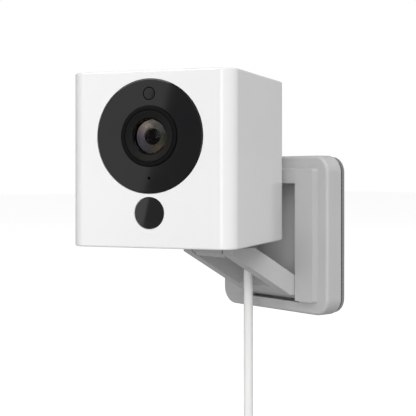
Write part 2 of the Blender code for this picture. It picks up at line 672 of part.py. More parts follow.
def plug_parts(head):
    """Right-angle micro-USB plug in the head's socket, with its cord leaving downwards."""
    body = rounded(9.6 * MM, 10.0 * MM, 2.4 * MM, (MICRO_X, SOCKET_Z - 0.8 * MM), 4)
    plug = prism("micro_usb_plug", "cord_white", head, "Y", body, BACK + GAP, BACK + 6.3 * MM)
    soften(plug, 1.0 * MM, 3)
    nose = rounded(6.2 * MM, 1.0 * MM, 0.3 * MM, (MICRO_X, SOCKET_Z - 0.5 * MM), 2)
    boolean(plug, "UNION", prism("plug_nose_add", None, head, "Y", nose, BACK - 4.0 * MM, BACK + 2 * MM))
    low = SOCKET_Z - PLUG_DROP
    relief = [
        (2.5 * MM, low - GAP),
        (2.3 * MM, low - 1.5 * MM),
        (1.9 * MM, low - 4.0 * MM),
        (1.75 * MM, low - RELIEF_LONG),
    ]
    turned("plug_strain_relief", "cord_white", head, "Z", relief, 20, (MICRO_X, BACK + PLUG_OUT))


def coil_centre():
    spare = (COIL_TURNS_ACROSS - 1) * CORD_D / 2
    return Vector((CORD_X + COIL_MEAN_R + spare, -BASE_FRONT - CORD_OUT + spare, COIL_Z))


def straight(name, x, y, top, bottom, pieces):
    """A plumb length of cord."""
    heights = [top + (bottom - top) * i / pieces for i in range(pieces + 1)]
    tube(name, "cord_white", [Vector((x, y, z)) for z in heights])


def cord_parts(head):
    """The cord from the plug to the arm's window, and from there straight down to the coil."""
    bpy.context.view_layer.update()
    exit_local = Vector((MICRO_X, BACK + PLUG_OUT, SOCKET_Z - PLUG_DROP - RELIEF_LONG - GAP))
    start = head.matrix_world @ exit_local
    hang_y = -BASE_FRONT - CORD_OUT
    end = Vector((CORD_X, hang_y, JOIN_Z))
    drop = Vector((0.0, 0.0, -1.0))
    route = [start, start + 2.2 * MM * drop, (start + end) / 2, end - 2.6 * MM * drop, end]
    tube("cord_upper", "cord_white", smooth_route(route, 4))
    straight("cord_lower", CORD_X, hang_y, end.z - GAP, COIL_Z + 11.9 * MM, 12)


def coil_parts():
    """The wound length as one ring, with the tie that holds it at the top."""
    centre = coil_centre()
    half = (COIL_TURNS_ACROSS * CORD_D) / 2 + 0.15 * MM
    axis = (centre.x, centre.z)
    outside = circle(COIL_MEAN_R + half, 48, axis)
    inside = circle(COIL_MEAN_R - half, 48, axis)
    ring = prism("cord_coil", "cord_white", None, "Y", outside, centre.y - half, centre.y + half)
    cut(ring, prism("coil_cut", None, None, "Y", inside, centre.y - FAR, centre.y + FAR))
    held = (centre.y, centre.z + COIL_MEAN_R)
    room = half + 0.35 * MM
    around = rounded(2 * (room + 0.9 * MM), 2 * (room + 1.5 * MM), 2.5 * MM, held, 3)
    through = rounded(2 * room, 2 * (room + 0.6 * MM), 0.4 * MM, held, 3)
    tie = prism("cord_tie", "black_matte", None, "X", around, centre.x - 3 * MM, centre.x + 3 * MM)
    cut(tie, prism("tie_cut", None, None, "X", through, centre.x - 8 * MM, centre.x + 8 * MM))


def tail_parts():
    """The free end below the coil, with its USB-A plug."""
    tail_y = coil_centre().y + (COIL_TURNS_ACROSS - 1) * CORD_D / 2
    tail_end = COIL_Z - 18.0 * MM
    straight("cord_tail", CORD_X, tail_y, COIL_Z - 11.9 * MM, tail_end, 2)
    relief = [(1.75 * MM, tail_end - GAP), (2.0 * MM, tail_end - 2 * MM), (2.9 * MM, tail_end - 10 * MM)]
    turned("usb_strain_relief", "cord_white", None, "Z", relief, 20, (CORD_X, tail_y))
    body_top = tail_end - 10.3 * MM
    body_low = body_top - 19.0 * MM
    body = rounded(15.6 * MM, 7.8 * MM, 2.0 * MM, (CORD_X, tail_y), 3)
    soften(prism("usb_a_plug", "cord_white", None, "Z", body, body_low, body_top), 0.8 * MM)
    shell = rounded(12.0 * MM, 4.5 * MM, 0.4 * MM, (CORD_X, tail_y), 2)
    room = rounded(11.3 * MM, 2.1 * MM, 0.2 * MM, (CORD_X, tail_y - 0.8 * MM), 2)
    metal = prism("usb_a_plug_shell", "steel", None, "Z", shell, body_low - 12.3 * MM, body_low - GAP)
    cut(metal, prism("shell_cut", None, None, "Z", room, body_low - 14.0 * MM, body_low - 2.5 * MM))


def main():
    clear_scene()
    wall_parts()
    base_frame()
    arm_parts()
    foot_parts()
    head = empty("head_axis", (0.0, -BASE_FRONT - HEAD_OUT, HEAD_BOTTOM), HEAD_YAW)
    shells(head)
    face_parts(head)
    lens_parts(head)
    lamp_parts(head)
    board_parts(head)
    button_parts(head)
    plug_parts(head)
    cord_parts(head)
    coil_parts()
    tail_parts()


main()
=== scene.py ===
import json
import math

import bmesh
import bpy
from mathutils import Matrix, Vector


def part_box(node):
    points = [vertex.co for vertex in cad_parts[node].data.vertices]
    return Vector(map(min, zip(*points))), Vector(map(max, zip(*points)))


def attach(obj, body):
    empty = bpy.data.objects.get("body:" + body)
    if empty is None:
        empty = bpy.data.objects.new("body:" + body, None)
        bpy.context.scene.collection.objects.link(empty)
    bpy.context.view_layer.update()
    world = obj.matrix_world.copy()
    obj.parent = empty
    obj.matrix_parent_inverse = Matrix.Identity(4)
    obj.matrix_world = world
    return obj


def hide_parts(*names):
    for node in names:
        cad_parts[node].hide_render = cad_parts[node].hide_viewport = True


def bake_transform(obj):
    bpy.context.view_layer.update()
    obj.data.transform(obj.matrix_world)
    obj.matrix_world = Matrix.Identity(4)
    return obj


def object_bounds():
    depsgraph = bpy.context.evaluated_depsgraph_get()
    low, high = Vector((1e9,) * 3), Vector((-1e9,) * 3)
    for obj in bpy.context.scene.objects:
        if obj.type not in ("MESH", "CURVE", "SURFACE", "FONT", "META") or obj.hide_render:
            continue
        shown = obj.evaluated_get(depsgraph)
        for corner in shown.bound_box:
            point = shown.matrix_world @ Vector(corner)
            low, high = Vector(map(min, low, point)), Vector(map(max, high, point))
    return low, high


# Looks of the cube camera on its folding wall stand. Metres, +Z up, wall at Y = 0, object towards -Y.
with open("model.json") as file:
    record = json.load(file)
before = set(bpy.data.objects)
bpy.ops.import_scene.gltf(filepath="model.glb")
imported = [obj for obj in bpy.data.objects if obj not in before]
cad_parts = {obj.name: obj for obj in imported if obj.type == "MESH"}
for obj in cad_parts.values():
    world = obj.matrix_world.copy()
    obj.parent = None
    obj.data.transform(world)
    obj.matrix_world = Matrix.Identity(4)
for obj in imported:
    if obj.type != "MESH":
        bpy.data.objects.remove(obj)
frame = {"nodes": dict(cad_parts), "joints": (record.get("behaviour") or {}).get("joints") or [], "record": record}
CAD_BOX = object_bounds()

MM = 0.001

# ------------------------------------------------------------------ places, from the frame

JOINT = {joint["name"]: joint for joint in frame["joints"]}
LOWER_HINGE = Vector(JOINT["arm_hinge"]["pos_m"])
UPPER_HINGE = Vector(JOINT["head_tilt"]["pos_m"])
SWIVEL = Vector(JOINT["head_swivel"]["pos_m"])
HEAD_YAW = math.radians(30.7)
HEAD = Matrix.Translation(SWIVEL) @ Matrix.Rotation(HEAD_YAW, 4, "Z")
ARM = Matrix.Translation(LOWER_HINGE)
FOOT = Matrix.Translation(UPPER_HINGE)
WORLD = Matrix.Identity(4)


def box_in(place, node):
    """Lowest and highest corner of a CAD node in a local frame."""
    back = place.inverted()
    points = [back @ v.co for v in frame["nodes"][node].data.vertices]
    low = Vector(min(p[k] for p in points) for k in range(3))
    high = Vector(max(p[k] for p in points) for k in range(3))
    return low, high


# Head, in its own frame: X across, Y from front to back, Z up from the underside.
SHELL_LOW, SHELL_HIGH = box_in(HEAD, "front_shell")
COVER_HIGH = box_in(HEAD, "rear_cover")[1]
DISC_LOW, DISC_HIGH = box_in(HEAD, "face_disc")
STATUS_LOW, STATUS_HIGH = box_in(HEAD, "status_window")
HALF_W = SHELL_HIGH.x
FRONT = SHELL_LOW.y
BACK = COVER_HIGH.y
TOP = SHELL_HIGH.z
SHELL_REAR = SHELL_HIGH.y
COVER_THICK = 2.2 * MM
CORNER = 4.5 * MM
WALL = 2.3 * MM
DISC_R = DISC_HIGH.x
DISC_Z = (DISC_LOW.z + DISC_HIGH.z) / 2
STATUS_R = STATUS_HIGH.x
STATUS_Z = (STATUS_LOW.z + STATUS_HIGH.z) / 2

# Base and its recess.
BASE_LOW, BASE_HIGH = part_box("base_frame")
BASE_SIDE = BASE_HIGH.x - BASE_LOW.x
BASE_CORNER = 5.5 * MM
LOWER_BORE_R = 1.15 * MM
MAGNET_X = 18.7 * MM
POCKET_R = 5.3 * MM
POCKET_DEPTH = 4.5 * MM
PLATEAU_HALF = 20.7 * MM
PLATEAU_TOP = 21.1 * MM
PLATEAU_BOTTOM = -21.2 * MM
PLATEAU_RISE = 1.9 * MM
RECESS_HALF = 12.45 * MM
RECESS_TOP = 16.3 * MM
RECESS_BOTTOM = -21.5 * MM
RECESS_DEPTH = 5.2 * MM

# Arm, foot and the tilt hinge between them.
ARM_SLOPE = math.radians(29.5)
ARM_ABOVE = 2.8 * MM
ARM_BELOW = 3.58 * MM
WINDOW_HALF = 7.8 * MM
WINDOW_START = 8.8 * MM
WINDOW_END = 21.8 * MM
LUG_ROOM_HALF = 7.3 * MM
LUG_LEFT = -7.2 * MM
LUG_RIGHT = 6.8 * MM
LUG_R = 1.55 * MM
LUG_NOSE_OUT = 2.35 * MM
LUG_NOSE_LOW = -0.3 * MM
UPPER_BORE_R = 0.95 * MM
WASHER_ROOM_R = 2.82 * MM
TIP_EDGE = 0.15 * MM
SWIVEL_R = 11.5 * MM
HUB_R = 4.2 * MM
SCREW_HOLE_R = 1.35 * MM

# Openings and lens parts of the head.
COVER_LOW_FACE = BACK - COVER_THICK
DISC_OPENING_R = 14.2 * MM
STATUS_OPENING_R = 3.2 * MM
HUB_HOLE_R = 4.5 * MM
BUTTON_HOLE_R = 1.9 * MM
SENSOR_HOLE_R = 1.86 * MM
MIC_HOLE_R = 0.42 * MM
RING_R = box_in(HEAD, "lens_ring")[1].x
BEZEL_R = box_in(HEAD, "lens_bezel")[1].x
LENS_R = 5.15 * MM
SPACER_R = 4.5 * MM
GLASS_TOP = -0.3 * MM
GLASS_RISE = 1.3 * MM
ELEMENT_TOP = 2.1 * MM
ELEMENT_RISE = 0.6 * MM
PUPIL_R = 2.3 * MM
RIDGES = 5
SPACER_STEPS = 5
SENSOR_Z = DISC_Z + 12.0 * MM
MIC_Z = DISC_Z - 11.8 * MM
MICRO_X = 8.0 * MM
SOCKET_Z = 14.0 * MM
USB_A_X = -11.0 * MM
MICRO_OPENING = (8.6 * MM, 3.8 * MM)
USB_OPENING = (14.2 * MM, 6.8 * MM)
GRILLE_Z = 34.0 * MM
GRILLE_PITCH = 2.2 * MM
GRILLE_HOLE_R = 0.55 * MM
GRILLE_RINGS = (1, 6, 12, 18)
BUTTON_AT = (15.5 * MM, -13.0 * MM)
CARD_LOW = (-8.0 * MM, -18.2 * MM)
CARD_HIGH = (4.5 * MM, -16.6 * MM)


# ------------------------------------------------------------------ mesh helpers


def arc(centre, radius, start, end, steps):
    """Points on an arc, ends included; the angles are in degrees."""
    angles = [math.radians(start + (end - start) * i / steps) for i in range(steps + 1)]
    return [(centre[0] + radius * math.cos(a), centre[1] + radius * math.sin(a)) for a in angles]


def circle(radius, sides=96, centre=(0.0, 0.0)):
    return arc(centre, radius, 0, 360 - 360 / sides, sides - 1)


def rounded(width, height, radius, centre=(0.0, 0.0), steps=12):
    points = []
    for corner, (sx, sy) in enumerate(((1, 1), (-1, 1), (-1, -1), (1, -1))):
        middle = (centre[0] + sx * (width / 2 - radius), centre[1] + sy * (height / 2 - radius))
        points += arc(middle, radius, 90 * corner, 90 * corner + 90, steps)
    return points


def at(axis, u, v, w):
    return {"X": (w, u, v), "Y": (u, w, v), "Z": (u, v, w)}[axis]


def mesh_object(name, bm, place=WORLD):
    bmesh.ops.recalc_face_normals(bm, faces=bm.faces)
    mesh = bpy.data.meshes.new(name)
    bm.to_mesh(mesh)
    bm.free()
    obj = bpy.data.objects.new(name, mesh)
    bpy.context.scene.collection.objects.link(obj)
    obj.matrix_world = place
    return obj


def loft(name, place, axis, sections):
    """A solid through outlines of the same length, each (outline, height along the axis)."""
    bm = bmesh.new()
    rings = [[bm.verts.new(at(axis, u, v, w)) for u, v in outline] for outline, w in sections]
    for low, high in zip(rings, rings[1:]):
        for i in range(len(low)):
            j = (i + 1) % len(low)
            bm.faces.new((low[i], low[j], high[j], high[i]))
    bm.faces.new(rings[0])
    bm.faces.new(rings[-1])
    return mesh_object(name, bm, place)


def prism(name, place, axis, outline, start, end):
    return loft(name, place, axis, [(outline, start), (outline, end)])


def box(name, place, low, high):
    corners = [(low[0], low[1]), (high[0], low[1]), (high[0], high[1]), (low[0], high[1])]
    return prism(name, place, "Z", corners, low[2], high[2])


def turned(name, place, axis, profile, sides=96, centre=(0.0, 0.0)):
    """A solid of revolution; profile is (radius, height) from end to end."""
    return loft(name, place, axis, [(circle(r, sides, centre), h) for r, h in profile])


def soften(obj, width, segments=4, above=50):
    bevel = obj.modifiers.new("edge", "BEVEL")
    bevel.width = width
    bevel.segments = segments
    bevel.limit_method = "ANGLE"
    bevel.angle_limit = math.radians(above)
    return obj


def join(obj, operation, *others):
    for other in others:
        step = obj.modifiers.new(other.name, "BOOLEAN")
        step.operation = operation
        step.object = other
    return obj


def cut(obj, *cutters):
    return join(obj, "DIFFERENCE", *cutters)


def bake(obj):
    """Applies the modifiers, and removes the objects that they used."""
    used = [m.object for m in obj.modifiers if m.type == "BOOLEAN"]
    graph = bpy.context.evaluated_depsgraph_get()
    mesh = bpy.data.meshes.new_from_object(obj.evaluated_get(graph))
    obj.modifiers.clear()
    obj.data = mesh
    for other in used:
        bpy.data.objects.remove(other, do_unlink=True)
    return obj


def smooth(obj, sharp=40):
    obj.data.shade_smooth()
    obj.data.set_sharp_from_angle(angle=math.radians(sharp))
    weighted = obj.modifiers.new("flat faces", "WEIGHTED_NORMAL")
    weighted.keep_sharp = True
    weighted.weight = 100
    return obj


def place_piece(obj, body, slot, mat, *nodes):
    """Gives a finished piece its material and body, and hides the CAD nodes that it stands for."""
    obj.data.materials.clear()
    obj.data.materials.append(mat)
    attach(obj, body)
    if nodes:
        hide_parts(*nodes)
    return obj


# ------------------------------------------------------------------ materials


class Look:
    """A material under construction: its node tree, its shader and object coordinates."""

    def __init__(self, name, colour, rough, metal=0.0):
        self.mat = bpy.data.materials.new(name)
        self.mat.use_nodes = True
        self.nodes = self.mat.node_tree.nodes
        self.links = self.mat.node_tree.links
        self.shader = self.nodes["Principled BSDF"]
        self.shader.inputs["Base Color"].default_value = (*colour, 1.0)
        self.shader.inputs["Roughness"].default_value = rough
        self.shader.inputs["Metallic"].default_value = metal
        self.coord = self.nodes.new("ShaderNodeTexCoord").outputs["Object"]

    def set(self, **values):
        for name, value in values.items():
            self.shader.inputs[name.replace("_", " ")].default_value = value
        return self

    def noise(self, scale, detail=3.0, stretch=None):
        node = self.nodes.new("ShaderNodeTexNoise")
        node.inputs["Scale"].default_value = scale
        node.inputs["Detail"].default_value = detail
        source = self.coord
        if stretch:
            mapping = self.nodes.new("ShaderNodeMapping")
            mapping.inputs["Scale"].default_value = stretch
            self.links.new(source, mapping.inputs["Vector"])
            source = mapping.outputs["Vector"]
        self.links.new(source, node.inputs["Vector"])
        return node.outputs["Fac"]

    def spread(self, value, low, high, start=0.3, end=0.7):
        node = self.nodes.new("ShaderNodeMapRange")
        node.inputs["From Min"].default_value = start
        node.inputs["From Max"].default_value = end
        node.inputs["To Min"].default_value = low
        node.inputs["To Max"].default_value = high
        self.links.new(value, node.inputs["Value"])
        return node.outputs["Result"]

    def ramp(self, value, stops):
        node = self.nodes.new("ShaderNodeValToRGB")
        elements = node.color_ramp.elements
        while len(elements) < len(stops):
            elements.new(0.5)
        for element, (position, colour) in zip(elements, stops):
            element.position = position
            element.color = (*colour, 1.0)
        self.links.new(value, node.inputs["Fac"])
        return node.outputs["Color"]

    def link(self, output, name):
        self.links.new(output, self.shader.inputs[name])
        return self

    def bump(self, height, depth, strength=1.0):
        node = self.nodes.new("ShaderNodeBump")
        node.inputs["Distance"].default_value = depth
        node.inputs["Strength"].default_value = strength
        self.links.new(height, node.inputs["Height"])
        return self.link(node.outputs["Normal"], "Normal")


def shade(colour, factor):
    return tuple(c * factor for c in colour)


def moulded(name, colour, rough, grain=2500, depth=0.004 * MM, tint=0.02, ior=1.49):
    """Moulded plastic: a fine grain in the surface, and a faint unevenness in colour and gloss."""
    look = Look(name, colour, rough).set(IOR=ior)
    cloud = look.noise(60, 2.0)
    tints = [(0.3, shade(colour, 1 - tint)), (0.7, shade(colour, 1 + tint))]
    look.link(look.ramp(cloud, tints), "Base Color")
    look.link(look.spread(cloud, rough * 0.92, rough * 1.08), "Roughness")
    look.bump(look.noise(grain, 2.0), depth)
    return look


def metal(name, colour, rough, stretch=(1, 1, 30)):
    look = Look(name, colour, rough, 1.0)
    streak = look.noise(900, 3.0, stretch)
    look.link(look.ramp(streak, [(0.3, shade(colour, 0.88)), (0.7, shade(colour, 1.05))]), "Base Color")
    look.link(look.spread(streak, rough * 0.8, rough * 1.25), "Roughness")
    look.bump(streak, 0.002 * MM)
    return look.mat


def board_look():
    """Green solder resist over copper tracks."""
    look = Look("board_resist", (0.015, 0.1, 0.04), 0.35).set(Coat_Weight=0.4, Coat_Roughness=0.15)
    tracks = look.nodes.new("ShaderNodeTexBrick")
    tracks.inputs["Scale"].default_value = 400
    tracks.inputs["Mortar Size"].default_value = 0.03
    tracks.inputs["Color1"].default_value = (0.012, 0.09, 0.035, 1)
    tracks.inputs["Color2"].default_value = (0.018, 0.12, 0.05, 1)
    tracks.inputs["Mortar"].default_value = (0.05, 0.2, 0.08, 1)
    look.links.new(look.coord, tracks.inputs["Vector"])
    look.link(tracks.outputs["Color"], "Base Color")
    look.bump(tracks.outputs["Fac"], 0.03 * MM)
    return look.mat


def foam_look():
    look = Look("foam_tape", (0.72, 0.72, 0.71), 0.9)
    cells = look.nodes.new("ShaderNodeTexVoronoi")
    cells.inputs["Scale"].default_value = 2200
    look.links.new(look.coord, cells.inputs["Vector"])
    # Darker at the cell centres, where the bump dips: painted shade in the pores.
    look.link(look.ramp(cells.outputs["Distance"], [(0.0, (0.5, 0.5, 0.49)), (0.4, (0.76, 0.76, 0.75))]),
              "Base Color")
    look.bump(cells.outputs["Distance"], 0.08 * MM)
    return look.mat


def tie_look():
    """Woven hook-and-loop strap, darker where the weave's bump dips: painted shade in its hollows."""
    look = Look("tie_weave", (0.02, 0.02, 0.021), 0.85).set(Sheen_Weight=0.4, Sheen_Roughness=0.5)
    weave = look.nodes.new("ShaderNodeTexWave")
    weave.inputs["Scale"].default_value = 700
    weave.inputs["Distortion"].default_value = 1.5
    look.links.new(look.coord, weave.inputs["Vector"])
    # Darker where the weave dips: painted shade in its hollows.
    look.link(look.ramp(weave.outputs["Fac"], [(0.2, (0.008, 0.008, 0.009)), (0.8, (0.035, 0.035, 0.037))]),
              "Base Color")
    look.bump(weave.outputs["Fac"], 0.08 * MM)
    return look.mat


def glass_look(name, tint):
    look = Look(name, tint, 0.0).set(IOR=1.12, Transmission_Weight=1.0)
    look.link(look.spread(look.noise(300, 1.0), 0.0, 0.012), "Roughness")
    return look.mat


def coated_look():
    """Inner lens element: nearly black, with a painted violet reflection of its coating towards the left."""
    look = Look("coated_element", (0.004, 0.003, 0.006), 0.04).set(IOR=1.06)
    apart = look.nodes.new("ShaderNodeSeparateXYZ")
    look.links.new(look.coord, apart.inputs["Vector"])
    across = look.spread(apart.outputs["X"], 0.0, 1.0, -PUPIL_R, PUPIL_R)
    # Violet towards the left is a painted reflection of the coating over a nearly black element.
    look.link(look.ramp(across, [(0.0, (0.005, 0.002, 0.003)), (0.6, (0.001, 0.001, 0.0015))]), "Base Color")
    return look.mat


def spacer_painted_reflection_look():
    """Satin spacer behind the front element. Its colour by the angle round the axis is painted reflection: violet,
    olive and grey-green for the lens coatings, and a beige painted reflection of the light above at the upper
    left.
    """
    look = Look("lens_spacer", (0.08, 0.07, 0.06), 0.35).set(IOR=1.12)
    apart = look.nodes.new("ShaderNodeSeparateXYZ")
    look.links.new(look.coord, apart.inputs["Vector"])
    raised = look.nodes.new("ShaderNodeMath")
    raised.operation = "SUBTRACT"
    raised.inputs[1].default_value = DISC_Z
    look.links.new(apart.outputs["Z"], raised.inputs[0])
    angle = look.nodes.new("ShaderNodeMath")
    angle.operation = "ARCTAN2"
    look.links.new(raised.outputs["Value"], angle.inputs[0])
    look.links.new(apart.outputs["X"], angle.inputs[1])
    round_axis = look.spread(angle.outputs["Value"], 0.0, 1.0, -math.pi, math.pi)
    # The colour round the axis is painted reflection of the coatings and of the light above, not the spacer's own
    # colour.
    look.link(look.ramp(round_axis, SPACER_PAINTED_REFLECTIONS), "Base Color")
    look.link(look.spread(look.noise(2500), 0.3, 0.45), "Roughness")
    return look.mat


def window_look(name, rough=0.05, ior=1.36):
    """Glossy black tinted plastic that lets only infrared light through."""
    look = Look(name, (0.005, 0.005, 0.006), rough).set(IOR=ior)
    cloud = look.noise(120, 2.0)
    look.link(look.ramp(cloud, [(0.3, (0.004, 0.004, 0.005)), (0.7, (0.006, 0.006, 0.0065))]), "Base Color")
    look.link(look.spread(cloud, rough * 0.7, rough * 1.2), "Roughness")
    look.bump(look.noise(90, 1.0), 0.004 * MM, 0.3)
    return look.mat


def cord_look():
    look = moulded("cord_jacket", (0.88, 0.88, 0.87), 0.42, 1800, 0.01 * MM, 0.015)
    look.set(Subsurface_Weight=0.08, Subsurface_Radius=(0.001, 0.001, 0.001))
    return look.mat


# Painted reflections round the lens axis: violet at the left, grey-green below, olive and dark towards the right,
# and a beige painted reflection of the light above at the upper left.
SPACER_PAINTED_REFLECTIONS = [
    (0.0, (0.034, 0.028, 0.042)),
    (0.22, (0.024, 0.025, 0.023)),
    (0.33, (0.045, 0.032, 0.022)),
    (0.42, (0.020, 0.021, 0.013)),
    (0.52, (0.010, 0.011, 0.009)),
    (0.68, (0.045, 0.040, 0.036)),
    (0.85, (0.118, 0.102, 0.088)),
    (1.0, (0.034, 0.028, 0.042)),
]
WHITE = moulded("white_gloss", (0.84, 0.84, 0.845), 0.16, 1600, 0.002 * MM, 0.008)
WHITE.set(Coat_Weight=0.1, Coat_Roughness=0.06)
WHITE.set(Subsurface_Weight=0.05, Subsurface_Radius=(0.002, 0.002, 0.002))
MATS = {
    "white_plastic": WHITE.mat,
    "grey_plastic": moulded("grey_satin", (0.50, 0.50, 0.505), 0.42, 2600, 0.012 * MM, 0.015).mat,
    "black_gloss": window_look("black_window"),
    "black_matte": moulded("black_matte", (0.011, 0.011, 0.012), 0.5, 3000, 0.01 * MM, 0.15).mat,
    "lens_glass": glass_look("lens_glass", (0.9, 0.9, 0.9)),
    "circuit_board": board_look(),
    "chip": moulded("chip_epoxy", (0.018, 0.018, 0.02), 0.55, 4000, 0.01 * MM, 0.1).mat,
    "steel": metal("plated_steel", (0.56, 0.56, 0.57), 0.28),
    "lamp": moulded("lamp_epoxy", (0.2, 0.17, 0.26), 0.12, 500, 0.002 * MM, 0.05).mat,
    "foam": foam_look(),
    "cord": cord_look(),
    "tie": tie_look(),
}
COATED = coated_look()
SPACER = spacer_painted_reflection_look()
# Nearly black steel for the microphone: painted shade, since the mic sits deep behind its small hole.
MIC_PAINTED_SHADE_STEEL = metal("mic_steel_painted_shade", (0.02, 0.02, 0.022), 0.5)
SENSOR_BLACK = window_look("sensor_window", 0.12)
STATUS_BLACK = window_look("status_window", 0.05, 1.45)
RING = moulded("lens_ring_satin", (0.003, 0.003, 0.003), 0.45, 3500, 0.008 * MM, 0.1, 1.15).mat
CONE = moulded("lens_cone_satin", (0.006, 0.006, 0.006), 0.5, 3500, 0.008 * MM, 0.1, 1.2).mat


def paint_cad_nodes():
    """Gives every CAD node its slot's material, but the microphone a nearly black metal, painted shade for the mic
    deep behind its small hole.

    The nodes that a finer piece replaces are hidden later.
    """
    for row in frame["record"]["subparts"]:
        node = frame["nodes"][row["node"]]
        node.data.materials.clear()
        node.data.materials.append(MATS[row["material_slot"]])
    # The microphone's dark metal is painted shade for its deep hole.
    frame["nodes"]["microphone"].data.materials[0] = MIC_PAINTED_SHADE_STEEL


# ------------------------------------------------------------------ camera, light and floor


def aim_camera():
    camera = bpy.data.cameras.new("camera")
    camera.lens = FOCAL_MM
    camera.sensor_width = SENSOR_MM
    camera.shift_y = FRAME_SHIFT
    camera.clip_start = 0.01
    camera.clip_end = 50.0
    eye = bpy.data.objects.new("camera", camera)
    eye.location = EYE
    eye.rotation_euler = (math.radians(90), 0.0, EYE_TURN)
    bpy.context.scene.collection.objects.link(eye)
    bpy.context.scene.camera = eye
    bpy.context.scene.view_settings.view_transform = "Standard"


def lay_floor():
    """A plain pale floor that glows a little, and neither lights the object nor shows in its gloss."""
    floor_bm = bmesh.new()
    bmesh.ops.create_grid(floor_bm, x_segments=1, y_segments=1, size=FLOOR_HALF)
    floor = mesh_object("floor", floor_bm, Matrix.Translation((0.0, 0.0, CAD_BOX[0].z - FLOOR_DROP)))
    pale = Look("pale_floor", (0.9, 0.9, 0.9), 0.8)
    pale.shader.inputs["Emission Color"].default_value = (1.0, 1.0, 1.0, 1.0)
    pale.shader.inputs["Emission Strength"].default_value = FLOOR_GLOW
    tints = [(0.3, (0.88, 0.88, 0.88)), (0.7, (0.91, 0.91, 0.91))]
    pale.link(pale.ramp(pale.noise(3.0), tints), "Base Color")
    floor.data.materials.append(pale.mat)
    floor.visible_diffuse = False
    floor.visible_glossy = False


def light_dome():
    """White behind the object for the camera, and dimmer for the light that reaches the object."""
    world = bpy.data.worlds.new("studio")
    bpy.context.scene.world = world
    world.use_nodes = True
    nodes, links = world.node_tree.nodes, world.node_tree.links
    path = nodes.new("ShaderNodeLightPath")
    mix = nodes.new("ShaderNodeMix")
    mix.data_type = "RGBA"
    mix.inputs["A"].default_value = (DOME, DOME, DOME, 1.0)
    mix.inputs["B"].default_value = (1.0, 1.0, 1.0, 1.0)
    links.new(path.outputs["Is Camera Ray"], mix.inputs["Factor"])
    links.new(mix.outputs["Result"], nodes["Background"].inputs["Color"])


def hang_lights():
    for name, (place, target, size, power, spin, tint, seen_by) in LIGHTS.items():
        light = bpy.data.lights.new(name, "AREA")
        light.shape = "RECTANGLE"
        light.size, light.size_y = size
        light.energy = power
        light.color = tint
        lamp = bpy.data.objects.new(name, light)
        lamp.location = place
        aim = (Vector(target) - Vector(place)).to_track_quat("-Z", "Y")
        lamp.rotation_mode = "QUATERNION"
        lamp.rotation_quaternion = aim @ Matrix.Rotation(math.radians(spin), 4, "Z").to_quaternion()
        lamp.visible_diffuse = seen_by != "gloss"
        lamp.visible_glossy = seen_by != "diffuse"
        bpy.context.scene.collection.objects.link(lamp)


FOCAL_MM = 87.04
SENSOR_MM = 36.0
FRAME_SHIFT = -0.0778
EYE = (0.24332, -0.23162, 0.01872)
EYE_TURN = math.radians(51.174)
FLOOR_HALF = 8.0
FLOOR_DROP = 12.0 * MM
FLOOR_GLOW = 0.6
DOME = 0.40
FACE = HEAD @ Vector((0.0, FRONT, DISC_Z))
NEUTRAL = (1.0, 1.0, 1.0)
WARM = (1.0, 0.9, 0.8)
SPREAD = 1.9
PANEL_AT = (-0.226, -1.602, 0.196)
PANEL_FACES = (-0.405, -0.114, 0.138)


def around(azimuth, height):
    """A place on a sphere round the swivel; both angles are in degrees, and 0 is along +X."""
    turn, rise = math.radians(azimuth), math.radians(height)
    flat = math.cos(rise)
    return SWIVEL + SPREAD * Vector((flat * math.cos(turn), flat * math.sin(turn), math.sin(rise)))


# Each light: place, the point it faces, (width, height), watts, turn about its own axis in degrees, colour,
# and whether it lights by diffuse rays or by reflection.
LIGHTS = {
    "key_soft_box": (around(-34, 34), SWIVEL, (1.0, 1.0), 15.0, 0.0, NEUTRAL, "diffuse"),
    "front_fill": (around(-48, 6), SWIVEL, (1.0, 1.0), 12.5, 0.0, NEUTRAL, "diffuse"),
    "top_fill": (around(35, 66), SWIVEL, (1.0, 1.0), 8.5, 0.0, NEUTRAL, "diffuse"),
    "left_fill": (around(-112, 6), SWIVEL, (1.0, 1.0), 3.5, 0.0, NEUTRAL, "diffuse"),
    "low_fill": (around(-48, -22), SWIVEL, (1.0, 1.0), 1.5, 0.0, NEUTRAL, "diffuse"),
    "edge_strip": ((1.15, -1.5, 0.5), SWIVEL, (0.28, 1.6), 5.0, 0.0, NEUTRAL, "gloss"),
    "left_panel": (PANEL_AT, PANEL_FACES, (0.9, 1.5), 4.6, -13.6, NEUTRAL, "gloss"),
    "lens_window": ((-0.02, -0.986, 0.80), FACE, (0.7, 0.6), 12.0, 0.0, WARM, "gloss"),
}


# ------------------------------------------------------------------ lead

CORD_LOW, CORD_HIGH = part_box("cord_lower")
CORD_D = CORD_HIGH.x - CORD_LOW.x
CORD_X = (CORD_LOW.x + CORD_HIGH.x) / 2
CORD_Y = (CORD_LOW.y + CORD_HIGH.y) / 2
COIL_LOW, COIL_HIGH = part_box("cord_coil")
COIL_ACROSS = 4
COIL_LAYERS = 4
COIL_CENTRE = (COIL_LOW + COIL_HIGH) / 2
COIL_MEAN_R = (COIL_HIGH.x - COIL_LOW.x) / 2 - (COIL_ACROSS * CORD_D / 2 + 0.15 * MM)
POINTS_PER_TURN = 40
# Shares of a turn at which it starts to move to the next column or layer, and that the move takes.
COLUMN_START, COLUMN_MOVE = 0.78, 0.12
LAYER_START, LAYER_MOVE = 0.89, 0.11
UPPER_END = -12.0 * MM
HANG_STEP = 6.0 * MM
OVERLAP = 0.25 * MM
RELIEF_THIN_R = 1.72 * MM
# Heights where the lead passes from the head to the foot, the arm and the base.
SPLITS = (-1.5 * MM, -5.0 * MM, -7.0 * MM, -9.0 * MM)


